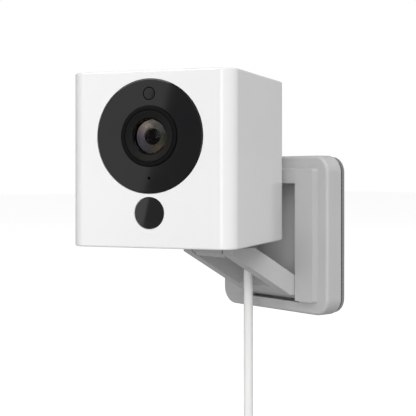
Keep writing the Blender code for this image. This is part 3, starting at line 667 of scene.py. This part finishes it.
def curve_points(points, pieces):
    """Points along a Catmull-Rom curve through the route's own points."""
    ends = [2 * points[0] - points[1], *points, 2 * points[-1] - points[-2]]
    found = []
    for a, b, c, d in zip(ends, ends[1:], ends[2:], ends[3:]):
        for i in range(pieces):
            t = i / pieces
            square = (2 * a - 5 * b + 4 * c - d) * t**2
            cube = (3 * b - a - 3 * c + d) * t**3
            found.append(0.5 * (2 * b + (c - a) * t + square + cube))
    return [*found, points[-1]]


def upper_route():
    """From the plug's strain relief to where the lead hangs straight, as in the CAD."""
    low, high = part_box("plug_strain_relief")
    start = Vector(((low.x + high.x) / 2, (low.y + high.y) / 2, low.z - 0.3 * MM))
    end = Vector((CORD_X, CORD_Y, UPPER_END))
    drop = Vector((0.0, 0.0, -1.0))
    middle = (start + end) / 2
    return curve_points([start, start + 2.2 * MM * drop, middle, end - 2.6 * MM * drop, end], 24)


def sweep(name, points, radius, sides=24):
    """A closed round tube along the points, its rings level where the path is steep."""
    bm = bmesh.new()
    rings = []
    side = Vector((1.0, 0.0, 0.0))
    for i, point in enumerate(points):
        ahead = (points[min(i + 1, len(points) - 1)] - points[max(i - 1, 0)]).normalized()
        side = (side - side.dot(ahead) * ahead).normalized()
        other = ahead.cross(side)
        rings.append([
            bm.verts.new(point + radius * (math.cos(a) * side + math.sin(a) * other))
            for a in (2 * math.pi * k / sides for k in range(sides))
        ])
    for low, high in zip(rings, rings[1:]):
        for k in range(sides):
            j = (k + 1) % sides
            bm.faces.new((low[k], low[j], high[j], high[k]))
    bm.faces.new(rings[0])
    bm.faces.new(rings[-1])
    return mesh_object(name, bm)


def ease(t):
    t = min(1.0, max(0.0, t))
    return t * t * (3 - 2 * t)


def coil_slots():
    """(column, layer) of each turn: the winding goes inwards, then outwards, and a layer deeper each time."""
    found = []
    for layer in range(COIL_LAYERS):
        columns = range(COIL_ACROSS)
        found += [(column, layer) for column in (reversed(columns) if layer % 2 == 0 else columns)]
    return found


def coil_points():
    """The turns lie a diameter apart; each passes to the next slot over the last fifth of its turn."""
    slots = coil_slots()
    points = []
    for number, (column, layer) in enumerate(slots):
        following = slots[min(number + 1, len(slots) - 1)]
        for i in range(POINTS_PER_TURN):
            share = i / POINTS_PER_TURN
            across = column + (following[0] - column) * ease((share - COLUMN_START) / COLUMN_MOVE)
            deep = layer + (following[1] - layer) * ease((share - LAYER_START) / LAYER_MOVE)
            radius = COIL_MEAN_R + (across - (COIL_ACROSS - 1) / 2) * CORD_D
            angle = math.pi + 2 * math.pi * share
            points.append(Vector((
                COIL_CENTRE.x + radius * math.cos(angle),
                COIL_CENTRE.y + (deep - (COIL_LAYERS - 1) / 2) * CORD_D,
                COIL_CENTRE.z + radius * math.sin(angle),
            )))
    return points


def lead_stubs(upper):
    """The three stretches that blend from one body to the next, down to the arm's window."""
    for name, high, low, bodies in (
        ("lead_at_plug", upper[0].z, SPLITS[1], ("head", "foot")),
        ("lead_at_tilt", SPLITS[1], SPLITS[2], ("foot", "arm")),
        ("lead_at_arm", SPLITS[2], SPLITS[3], ("arm", "base")),
    ):
        stretch = [p for p in upper if low - OVERLAP <= p.z <= high + OVERLAP]
        piece = smooth(sweep(name, stretch, CORD_D / 2, 32), 60)
        piece.data.materials.append(MATS["cord"])
        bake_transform(piece)
    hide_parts("cord_upper")


def lead_points(upper):
    """The hanging stretch, the coil and the free tail."""
    below = [p for p in upper if p.z <= SPLITS[3] + 0.05 * MM]
    fall = COIL_CENTRE.z - below[-1].z
    straight = int(-fall / HANG_STEP)
    hang = [Vector((CORD_X, CORD_Y, below[-1].z + fall * i / straight)) for i in range(1, straight)]
    last_y = COIL_CENTRE.y + (COIL_LAYERS - 1) / 2 * CORD_D
    tail_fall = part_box("usb_strain_relief")[1].z + 0.3 * MM - COIL_CENTRE.z
    tail = [Vector((CORD_X, last_y, COIL_CENTRE.z + tail_fall * i / 4)) for i in range(5)]
    return [*below, *hang, *coil_points(), *tail]


def lead():
    upper = upper_route()
    lead_stubs(upper)
    points = lead_points(upper)
    curve = bpy.data.curves.new("lead", "CURVE")
    curve.dimensions = "3D"
    curve.bevel_depth = CORD_D / 2
    curve.bevel_resolution = 4
    curve.use_fill_caps = True
    spline = curve.splines.new("POLY")
    spline.points.add(len(points) - 1)
    for control, point in zip(spline.points, points):
        control.co = (*point, 1.0)
    spline.use_smooth = True
    obj = bpy.data.objects.new("lead", curve)
    bpy.context.scene.collection.objects.link(obj)
    curve.materials.append(MATS["cord"])
    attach(obj, "base")
    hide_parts("cord_lower", "cord_coil", "cord_tail")
    length = sum((b - a).length for a, b in zip(points, points[1:]))
    return obj, points[0], length


def tie():
    """A woven strap round the coil's bundle, its loose end lapped over."""
    low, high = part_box("cord_tie")
    half = COIL_ACROSS * CORD_D / 2
    inner = half + 0.12 * MM
    outer = inner + 1.0 * MM
    top = COIL_CENTRE.z + COIL_MEAN_R
    bundle = (COIL_CENTRE.y, top)
    strap = prism("strap", WORLD, "X", rounded(2 * outer, 2 * outer, 2.4 * MM, bundle), low.x, high.x)
    room = rounded(2 * inner, 2 * inner, 1.45 * MM, bundle)
    cut(strap, prism("strap_room", WORLD, "X", room, low.x - 3 * MM, high.x + 3 * MM))
    lap_low = (low.x + 0.3 * MM, COIL_CENTRE.y - half + 1.5 * MM, top + inner + 0.8 * MM)
    lap_high = (high.x - 0.3 * MM, COIL_CENTRE.y + half - 2.5 * MM, top + inner + 1.45 * MM)
    join(strap, "UNION", box("strap_lap", WORLD, lap_low, lap_high))
    soften(strap, 0.18 * MM, 3)
    return place_piece(smooth(bake(strap)), "base", "tie", MATS["tie"], "cord_tie")


def micro_plug():
    """The right-angle plug in the head, with grip grooves and a ribbed strain relief."""
    low, high = box_in(HEAD, "micro_usb_plug")
    relief_low, relief_high = box_in(HEAD, "plug_strain_relief")
    centre = ((low.x + high.x) / 2, (low.z + high.z) / 2)
    outline = rounded(high.x - low.x, high.z - low.z, 2.4 * MM, centre)
    body = prism("plug_body", HEAD, "Y", outline, BACK + 0.3 * MM, high.y)
    soften(body, 1.0 * MM, 5)
    nose = rounded(6.2 * MM, 1.0 * MM, 0.3 * MM, (centre[0], centre[1] + 0.3 * MM), 4)
    join(body, "UNION", prism("plug_nose", HEAD, "Y", nose, low.y, BACK + 2 * MM))
    near, far = high.y - 4.6 * MM, high.y - 1.6 * MM
    bite = 0.35 * MM
    for i in range(4):
        z = centre[1] - 2.2 * MM + 1.5 * MM * i
        over = z + 0.6 * MM
        groove = box(f"grip_{i}", HEAD, (low.x - MM, near, z), (low.x + bite, far, over))
        other = box(f"grip_b{i}", HEAD, (high.x - bite, near, z), (high.x + MM, far, over))
        cut(body, groove, other)
    place_piece(smooth(bake(body)), "head", "cord", MATS["cord"], "micro_usb_plug")
    relief_centre = ((relief_low.x + relief_high.x) / 2, (relief_low.y + relief_high.y) / 2)
    ends = (relief_high.z, relief_low.z)
    relief = ribbed("plug_relief", HEAD, relief_centre, ends, (2.5 * MM, RELIEF_THIN_R), 4)
    place_piece(relief, "head", "cord", MATS["cord"], "plug_strain_relief")


def usb_plug():
    """The free plug under the coil: strain relief, moulded grip and metal shell."""
    low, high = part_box("usb_strain_relief")
    centre = ((low.x + high.x) / 2, (low.y + high.y) / 2)
    far_relief = ribbed("usb_relief", WORLD, centre, (low.z, high.z), (2.9 * MM, RELIEF_THIN_R), 6)
    place_piece(far_relief, "base", "cord", MATS["cord"], "usb_strain_relief")
    low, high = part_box("usb_a_plug")
    outline = rounded(high.x - low.x, high.y - low.y, 2.0 * MM, centre)
    plug = prism("usb_plug_body", WORLD, "Z", outline, low.z, high.z)
    soften(plug, 0.8 * MM, 5)
    for i in range(5):
        z = high.z - 8.5 * MM + 1.5 * MM * i
        for side in (-1, 1):
            edge = centre[1] + side * (high.y - low.y) / 2
            groove_low = (centre[0] - 4.5 * MM, edge - 0.3 * MM, z)
            groove_high = (centre[0] + 4.5 * MM, edge + 0.3 * MM, z + 0.7 * MM)
            cut(plug, box(f"grip_{i}_{side}", WORLD, groove_low, groove_high))
    plug = place_piece(smooth(bake(plug)), "base", "cord", MATS["cord"], "usb_a_plug")
    low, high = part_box("usb_a_plug_shell")
    outline = rounded(high.x - low.x, high.y - low.y, 0.4 * MM, centre, 6)
    shell = prism("usb_plug_metal", WORLD, "Z", outline, low.z, high.z)
    room = rounded(11.3 * MM, 2.1 * MM, 0.2 * MM, (centre[0], centre[1] - 0.8 * MM), 3)
    cut(shell, prism("shell_room", WORLD, "Z", room, low.z - MM, high.z - 2.2 * MM))
    for x in (-2.6 * MM, 2.6 * MM):
        for side in (-1, 1):
            edge = centre[1] + side * (high.y - low.y) / 2
            window_low = (x - 0.9 * MM, edge - 0.25 * MM, low.z + 4.6 * MM)
            window_high = (x + 0.9 * MM, edge + 0.25 * MM, low.z + 6.6 * MM)
            cut(shell, box(f"window_{x}_{side}", WORLD, window_low, window_high))
    soften(shell, 0.08 * MM, 2)
    metal_shell = place_piece(smooth(bake(shell)), "base", "steel", MATS["steel"], "usb_a_plug_shell")
    return [plug, far_relief, metal_shell]


def ribbed(name, place, centre, ends, radii, ribs):
    """A strain relief along Z, tapering from the first end and radius to the second, with raised ribs."""
    profile = []
    parts = ribs * 2
    slope = (ends[1] - ends[0]) / parts
    for i in range(parts + 1):
        share = i / parts
        z = ends[0] + (ends[1] - ends[0]) * share
        radius = radii[0] + (radii[1] - radii[0]) * share
        if 0 < i < parts:
            radius -= 0.22 * MM if i % 2 else 0.0
            profile += [(radius, z - 0.28 * slope), (radius, z + 0.28 * slope)]
        else:
            profile.append((radius, z))
    obj = turned(name, place, "Z", profile, 48, centre)
    soften(obj, 0.08 * MM, 2, 25)
    return smooth(bake(obj), 50)


# ------------------------------------------------------------------ wall side


def wall_pieces():
    """Foam pad and steel plate behind the base."""
    for name, node, body_slot, radius, edge in (
        ("wall_pad", "adhesive_pad", "foam", 4.5 * MM, 0.1 * MM),
        ("back_plate", "wall_plate", "steel", 5.0 * MM, 0.15 * MM),
    ):
        low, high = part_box(node)
        outline = rounded(high.x - low.x, high.z - low.z, radius, steps=16)
        sheet = prism(name, WORLD, "Y", outline, low.y, high.y)
        soften(sheet, edge, 2)
        place_piece(smooth(bake(sheet)), "base", body_slot, MATS[body_slot], node)


def base_piece():
    """Square base with its raised plateau, and the recess that the arm folds into."""
    front = BASE_LOW.y + PLATEAU_RISE
    square = rounded(BASE_SIDE, BASE_SIDE, BASE_CORNER, steps=16)
    frame_piece = prism("base_body", WORLD, "Y", square, front, BASE_HIGH.y)
    soften(frame_piece, 1.0 * MM, 5)
    middle = (0.0, (PLATEAU_TOP + PLATEAU_BOTTOM) / 2)
    height = PLATEAU_TOP - PLATEAU_BOTTOM
    foot = rounded(2 * PLATEAU_HALF, height, 1.0 * MM, middle, 6)
    crown = rounded(2 * PLATEAU_HALF - 0.6 * MM, height - 0.6 * MM, 0.9 * MM, middle, 6)
    plateau = loft("plateau", WORLD, "Y", [(foot, front + MM), (foot, front), (crown, BASE_LOW.y)])
    join(frame_piece, "UNION", plateau)
    recess = box("recess", WORLD, (-RECESS_HALF, front - 5 * MM, RECESS_BOTTOM),
                 (RECESS_HALF, front + RECESS_DEPTH, RECESS_TOP))
    round_pin = circle(LOWER_BORE_R, 48, (LOWER_HINGE.y, LOWER_HINGE.z))
    bore = prism("bore", WORLD, "X", round_pin, -15.5 * MM, 15.5 * MM)
    pockets = [prism(f"pocket_{x}", WORLD, "Y", circle(POCKET_R, 48, (x, 0.0)), -POCKET_DEPTH, 0.0)
               for x in (-MAGNET_X, MAGNET_X)]
    cut(frame_piece, recess, bore, *pockets)
    soften(frame_piece, 0.16 * MM, 3, 35)
    place_piece(smooth(bake(frame_piece)), "base", "grey_plastic", MATS["grey_plastic"], "base_frame")


# ------------------------------------------------------------------ stand


def arm_point(along, across):
    """(y, z) of a point on the arm, from the lower hinge."""
    out = along * math.cos(ARM_SLOPE) - across * math.sin(ARM_SLOPE)
    up = along * math.sin(ARM_SLOPE) + across * math.cos(ARM_SLOPE)
    return -out, up


def arm_block(name, start, end, half):
    """A box square to the arm, from (along, across) to (along, across), and half its width to each side."""
    corners = [(start[0], start[1]), (end[0], start[1]), (end[0], end[1]), (start[0], end[1])]
    return prism(name, ARM, "X", [arm_point(*corner) for corner in corners], -half, half)


def arm_piece():
    """A short arm with an open window, washer seats at the base and a lug gap with a cut-off tip."""
    low, high = box_in(ARM, "arm")
    tip_out, tip_up, half = -low.y, high.z, high.x
    slope, rise = math.tan(ARM_SLOPE), math.cos(ARM_SLOPE)
    under_tip = tip_out * slope - ARM_BELOW / rise
    cut_start = (tip_up - ARM_ABOVE / rise) / slope
    back = [arm_point(ARM_ABOVE * math.cos(a), ARM_ABOVE * math.sin(a))
            for a in (math.radians(90 + 5 * i) for i in range(37))]
    outline = [
        *back,
        arm_point(2.2 * MM, -ARM_ABOVE),
        arm_point(3.0 * MM, -ARM_BELOW + 0.6 * MM),
        arm_point(3.7 * MM, -ARM_BELOW),
        (-(tip_out - TIP_EDGE), under_tip),
        (-tip_out, under_tip + 2 * TIP_EDGE),
        (-tip_out, tip_up - TIP_EDGE),
        (-(tip_out - TIP_EDGE), tip_up),
        (-cut_start, tip_up),
    ]
    arm = soften(prism("arm_body", ARM, "X", outline, -half, half), 0.35 * MM, 4, 80)
    window = arm_block("window", (WINDOW_START, -6 * MM), (WINDOW_END, 6 * MM), WINDOW_HALF)
    under = arm_block("underside", (WINDOW_END - MM, -6 * MM), (35 * MM, -0.3 * MM), WINDOW_HALF)
    lug_room = arm_block("lug_room", (26.6 * MM, -9 * MM), (40 * MM, 9 * MM), LUG_ROOM_HALF)
    pin = UPPER_HINGE - LOWER_HINGE
    round_pin = circle(UPPER_BORE_R, 48, (pin.y, pin.z))
    upper_bore = prism("upper_bore", ARM, "X", round_pin, -11.3 * MM, 11.3 * MM)
    lower_bore = prism("lower_bore", ARM, "X", circle(LOWER_BORE_R, 48), -14 * MM, 14 * MM)
    sides = []
    for side in (-1, 1):
        near, far = sorted((side * (RECESS_HALF - 1.25 * MM), side * 14 * MM))
        sides.append(prism(f"washer_room_{side}", ARM, "X", circle(WASHER_ROOM_R, 64), near, far))
    cut(arm, window, under, lug_room, upper_bore, lower_bore, *sides)
    soften(arm, 0.13 * MM, 3, 45)
    place_piece(smooth(bake(arm)), "arm", "grey_plastic", MATS["grey_plastic"], "arm")


def foot_piece():
    """The disc that the head swivels on, with the lug of the tilt hinge under it."""
    reach = SWIVEL.y - UPPER_HINGE.y
    lift = -UPPER_HINGE.z
    bar_low, bar_high = lift - 2.95 * MM, lift - 2.0 * MM
    foot = box("foot_body", FOOT, (LUG_LEFT, reach, bar_low), (LUG_RIGHT, 5.0 * MM, bar_high))
    barrel = prism("lug", FOOT, "X", circle(LUG_R, 48), LUG_LEFT, LUG_RIGHT)
    web_low = (LUG_LEFT, -LUG_NOSE_OUT, LUG_NOSE_LOW)
    web_high = (LUG_RIGHT, LUG_R - 0.2 * MM, bar_low + 0.2 * MM)
    web = box("web", FOOT, web_low, web_high)
    base, top, hub_top = lift - 2.6 * MM, lift + SWIVEL.z + 1.0 * MM, lift + 0.85 * MM
    edge = [(SWIVEL_R - 0.4 * MM, base), (SWIVEL_R - 0.12 * MM, base + 0.12 * MM)]
    profile = [*edge, (SWIVEL_R, base + 0.4 * MM), (SWIVEL_R, top), (HUB_R, top), (HUB_R, hub_top)]
    disc = turned("swivel_disc", FOOT, "Z", profile, 120, (0.0, reach))
    join(foot, "UNION", barrel, web, disc)
    bore = prism("foot_bore", FOOT, "X", circle(UPPER_BORE_R, 48), -10 * MM, 10 * MM)
    round_screw = circle(SCREW_HOLE_R, 48, (0.0, reach))
    hole = prism("screw_hole", FOOT, "Z", round_screw, base + 1.2 * MM, hub_top + MM)
    cut(foot, bore, hole)
    soften(foot, 0.08 * MM, 2, 50)
    place_piece(smooth(bake(foot)), "foot", "grey_plastic", MATS["grey_plastic"], "swivel_foot")


# ------------------------------------------------------------------ head


def front_hole(name, radius, height, start, end, sides):
    """A round cutter through the front face, its depths measured from that face."""
    return prism(name, HEAD, "Y", circle(radius, sides, (0.0, height)), FRONT + start, FRONT + end)


def front_shell():
    """The white cube, open at the back, with seats for both windows and the foot, and holes underneath."""
    turn = math.degrees(math.asin((SHELL_REAR - BACK + CORNER) / CORNER))
    outline = [
        *arc((HALF_W - CORNER, BACK - CORNER), CORNER, 0, turn, 6),
        *arc((CORNER - HALF_W, BACK - CORNER), CORNER, 180 - turn, 180, 6),
        *arc((CORNER - HALF_W, FRONT + CORNER), CORNER, 180, 270, 24)[1:],
        *arc((HALF_W - CORNER, FRONT + CORNER), CORNER, 270, 360, 24)[:-1],
    ]
    shell = soften(prism("housing_front", HEAD, "Z", outline, 0.0, TOP), 0.7 * MM, 6, 80)
    inner = HALF_W - WALL
    cavity = box("cavity", HEAD, (-inner, FRONT + 3.0 * MM, WALL), (inner, SHELL_REAR + 5 * MM, TOP - WALL))
    holes = [
        front_hole("disc_seat", DISC_R + 0.14 * MM, DISC_Z, -2 * MM, 1.6 * MM, 160),
        front_hole("disc_hole", DISC_OPENING_R, DISC_Z, 0.0, 5 * MM, 96),
        front_hole("status_seat", STATUS_R + 0.1 * MM, STATUS_Z, -2 * MM, 1.4 * MM, 96),
        front_hole("status_hole", STATUS_OPENING_R, STATUS_Z, 0.0, 5 * MM, 64),
        prism("foot_seat", HEAD, "Z", circle(SWIVEL_R + 0.4 * MM, 120), -2 * MM, 1.3 * MM),
        prism("foot_hole", HEAD, "Z", circle(HUB_HOLE_R, 64), -2 * MM, 4 * MM),
        prism("button_hole", HEAD, "Z", circle(BUTTON_HOLE_R, 48, BUTTON_AT), -2 * MM, 4 * MM),
        box("card_hole", HEAD, (CARD_LOW[0], CARD_LOW[1], -2 * MM), (CARD_HIGH[0], CARD_HIGH[1], 4 * MM)),
    ]
    cut(shell, cavity, *holes)
    soften(shell, 0.1 * MM, 3, 45)
    place_piece(smooth(bake(shell)), "head", "white_plastic", MATS["white_plastic"], "front_shell")


def rear_cover():
    """The back of the cube, with a rim that reaches into the shell, two socket openings and a grille."""
    seam = COVER_LOW_FACE
    turn = math.degrees(math.asin((seam - BACK + CORNER) / CORNER))
    outline = [*arc((HALF_W - CORNER, BACK - CORNER), CORNER, turn, 90, 16),
               *arc((CORNER - HALF_W, BACK - CORNER), CORNER, 90, 180 - turn, 16)]
    cover = soften(prism("housing_rear", HEAD, "Z", outline, 0.0, TOP), 0.6 * MM, 5, 75)
    edge = WALL + 0.3 * MM
    rim_low = (edge - HALF_W, seam - 1.5 * MM, edge)
    rim_high = (HALF_W - edge, seam + 0.5 * MM, TOP - edge)
    join(cover, "UNION", box("cover_rim", HEAD, rim_low, rim_high))
    deep = WALL + 1.6 * MM
    hollow_low = (deep - HALF_W, seam - 4 * MM, deep)
    hollow_high = (HALF_W - deep, seam - 0.2 * MM, TOP - deep)
    hollow = box("cover_hollow", HEAD, hollow_low, hollow_high)
    inside, outside = seam - 3 * MM, BACK + MM
    micro_outline = rounded(*MICRO_OPENING, 1.0 * MM, (MICRO_X, SOCKET_Z), 8)
    micro = prism("micro_opening", HEAD, "Y", micro_outline, inside, outside)
    usb_outline = rounded(*USB_OPENING, 0.6 * MM, (USB_A_X, SOCKET_Z + 1.6 * MM), 6)
    usb = prism("usb_opening", HEAD, "Y", usb_outline, inside, outside)
    grille = []
    for ring, count in enumerate(GRILLE_RINGS):
        for i in range(count):
            a = 2 * math.pi * i / count
            centre = (ring * GRILLE_PITCH * math.cos(a), GRILLE_Z + ring * GRILLE_PITCH * math.sin(a))
            hole = circle(GRILLE_HOLE_R, 24, centre)
            grille.append(prism(f"grille_{ring}_{i}", HEAD, "Y", hole, inside, outside))
    cut(cover, hollow, micro, usb, *grille)
    soften(cover, 0.1 * MM, 3, 50)
    place_piece(smooth(bake(cover)), "head", "white_plastic", MATS["white_plastic"], "rear_cover")


def ring_piece(name, outer, inner, sides=128):
    """A ring about the lens axis; outer and inner are (radius, depth behind the front face) profiles."""
    axis = (0.0, DISC_Z)
    ring = turned(name, HEAD, "Y", [(r, FRONT + d) for r, d in outer], sides, axis)
    return cut(ring, turned(f"{name}_bore", HEAD, "Y", [(r, FRONT + d) for r, d in inner], sides, axis))


def dome(radius, rise, top, steps=10):
    """(radius, depth) points of a spherical cap, from its middle to its edge."""
    ball = (radius * radius + rise * rise) / (2 * rise)
    half_angle = math.asin(radius / ball)
    return [(max(ball * math.sin(a), 0.02 * MM), top + ball * (1 - math.cos(a)))
            for a in (half_angle * i / steps for i in range(steps + 1))]


def face_pieces():
    """The large window with its three holes, the light sensor's cap in it, and the small window below."""
    front = DISC_LOW.y
    edge = [(DISC_R - 0.35 * MM, front), (DISC_R - 0.1 * MM, front + 0.1 * MM), (DISC_R, front + 0.35 * MM)]
    disc = turned("face_window", HEAD, "Y", [*edge, (DISC_R, DISC_HIGH.y)], 160, (0.0, DISC_Z))
    before = front - MM - FRONT
    cut(disc,
        front_hole("lens_hole", RING_R + 0.1 * MM, DISC_Z, before, 3 * MM, 128),
        front_hole("sensor_hole", SENSOR_HOLE_R, SENSOR_Z, before, 3 * MM, 64),
        front_hole("mic_hole", MIC_HOLE_R, MIC_Z, before, 3 * MM, 32))
    soften(disc, 0.06 * MM, 2, 50)
    place_piece(smooth(bake(disc)), "head", "black_gloss", MATS["black_gloss"], "face_disc")
    sensor_cap = [(r, FRONT - 0.12 * MM + d) for r, d in dome(1.6 * MM, 0.01 * MM, 0.0, 4)]
    sensor_side = [(1.68 * MM, FRONT + 0.1 * MM), (1.7 * MM, FRONT + 2.4 * MM)]
    sensor = turned("sensor_window", HEAD, "Y", [*sensor_cap, *sensor_side], 64, (0.0, SENSOR_Z))
    place_piece(smooth(sensor), "head", "black_gloss", SENSOR_BLACK, "light_sensor")
    status_cap = [(r, front - 0.05 * MM + d) for r, d in dome(STATUS_R - 0.2 * MM, 0.035 * MM, 0.0, 8)]
    status_side = [(STATUS_R, front + 0.42 * MM), (STATUS_R, STATUS_HIGH.y)]
    status = turned("status_cap", HEAD, "Y", [*status_cap, *status_side], 128, (0.0, STATUS_Z))
    place_piece(smooth(status), "head", "black_gloss", STATUS_BLACK, "status_window")


def lens_rims():
    """Satin outer ring and, inside it, the ridged cone."""
    ring_outer = [(RING_R - 0.4 * MM, -0.5 * MM), (RING_R - 0.12 * MM, -0.42 * MM), (RING_R, -0.2 * MM)]
    gap_r = BEZEL_R + 0.12 * MM
    ring_inner = [(BEZEL_R + 0.25 * MM, -1.0 * MM), (gap_r, 0.0), (gap_r, 4.0 * MM)]
    ring = ring_piece("lens_rim", [*ring_outer, (RING_R, 2.2 * MM)], ring_inner)
    soften(ring, 0.06 * MM, 2, 50)
    place_piece(smooth(bake(ring)), "head", "black_matte", RING, "lens_ring")
    mouth_r = BEZEL_R - 0.3 * MM
    hole_r = LENS_R + 0.05 * MM
    cone = [(mouth_r + 0.05 * MM, -1.0 * MM)]
    for i in range(RIDGES):
        share = i / RIDGES
        radius = mouth_r + (hole_r - mouth_r) * share
        depth = (0.55 * share - 0.3) * MM
        cone += [(radius, depth), (radius - 0.2 * MM, depth + 0.02 * MM)]
    cone += [(hole_r, 0.35 * MM), (hole_r, 6.0 * MM)]
    bezel = ring_piece("lens_cone", [(BEZEL_R, -0.4 * MM), (BEZEL_R, 4.2 * MM)], cone)
    place_piece(smooth(bake(bezel), 20), "head", "black_matte", CONE, "lens_bezel")


def lens_elements():
    """Clear front element, stepped spacer behind it and the coated inner element."""
    outer = dome(LENS_R - 0.1 * MM, GLASS_RISE, GLASS_TOP, 14)
    inner = [(r * 0.93, d + 0.55 * MM) for r, d in reversed(outer)]
    rim = [(LENS_R, 1.05 * MM), (LENS_R, 1.45 * MM), (LENS_R - 0.25 * MM, 1.65 * MM)]
    sections = [(r, FRONT + d) for r, d in [*outer, *rim, *inner]]
    glass = turned("front_element", HEAD, "Y", sections, 128, (0.0, DISC_Z))
    place_piece(smooth(glass, 50), "head", "lens_glass", MATS["lens_glass"], "lens_glass")
    steps = []
    for i in range(SPACER_STEPS):
        share = i / SPACER_STEPS
        radius = SPACER_R - (SPACER_R - PUPIL_R) * share
        depth = (1.3 + 0.95 * share) * MM
        steps += [(radius, depth), (radius - 0.24 * MM, depth + 0.05 * MM)]
    spacer_outer = [(SPACER_R + 0.1 * MM, 1.8 * MM), (SPACER_R + 0.1 * MM, 4.4 * MM)]
    spacer_inner = [(SPACER_R + 0.05 * MM, 0.3 * MM), *steps, (PUPIL_R, 3.0 * MM), (PUPIL_R, 6.0 * MM)]
    spacer = ring_piece("lens_spacer", spacer_outer, spacer_inner)
    place_piece(smooth(bake(spacer), 20), "head", "black_matte", SPACER)
    back = dome(PUPIL_R - 0.05 * MM, ELEMENT_RISE, ELEMENT_TOP, 10)
    sections = [(r, FRONT + d) for r, d in [*back, (PUPIL_R - 0.05 * MM, 4.4 * MM)]]
    element = turned("inner_element", HEAD, "Y", sections, 96, (0.0, DISC_Z))
    place_piece(smooth(element, 50), "head", "lens_glass", COATED)


def button_piece():
    """A key with a rounded face, a flange that keeps it in and a stem up to the tact switch."""
    low, high = box_in(HEAD, "setup_button")
    face = [(1.15 * MM, low.z + 0.06 * MM), (1.35 * MM, low.z), (1.52 * MM, low.z + 0.08 * MM)]
    side = [(1.6 * MM, low.z + 0.25 * MM), (1.6 * MM, 2.6 * MM)]
    flange = [(2.6 * MM, 2.6 * MM), (2.6 * MM, 3.3 * MM)]
    stem = [(0.9 * MM, 3.3 * MM), (0.9 * MM, high.z)]
    button = turned("setup_key", HEAD, "Z", [*face, *side, *flange, *stem], 48, BUTTON_AT)
    place_piece(smooth(button), "button", "grey_plastic", MATS["grey_plastic"], "setup_button")


# ------------------------------------------------------------------ build

paint_cad_nodes()
aim_camera()
lay_floor()
light_dome()
hang_lights()
wall_pieces()
base_piece()
arm_piece()
foot_piece()
front_shell()
rear_cover()
face_pieces()
lens_rims()
lens_elements()
button_piece()
LEAD, LEAD_START, LEAD_LENGTH = lead()
TIE = tie()
micro_plug()
ENDS = usb_plug()
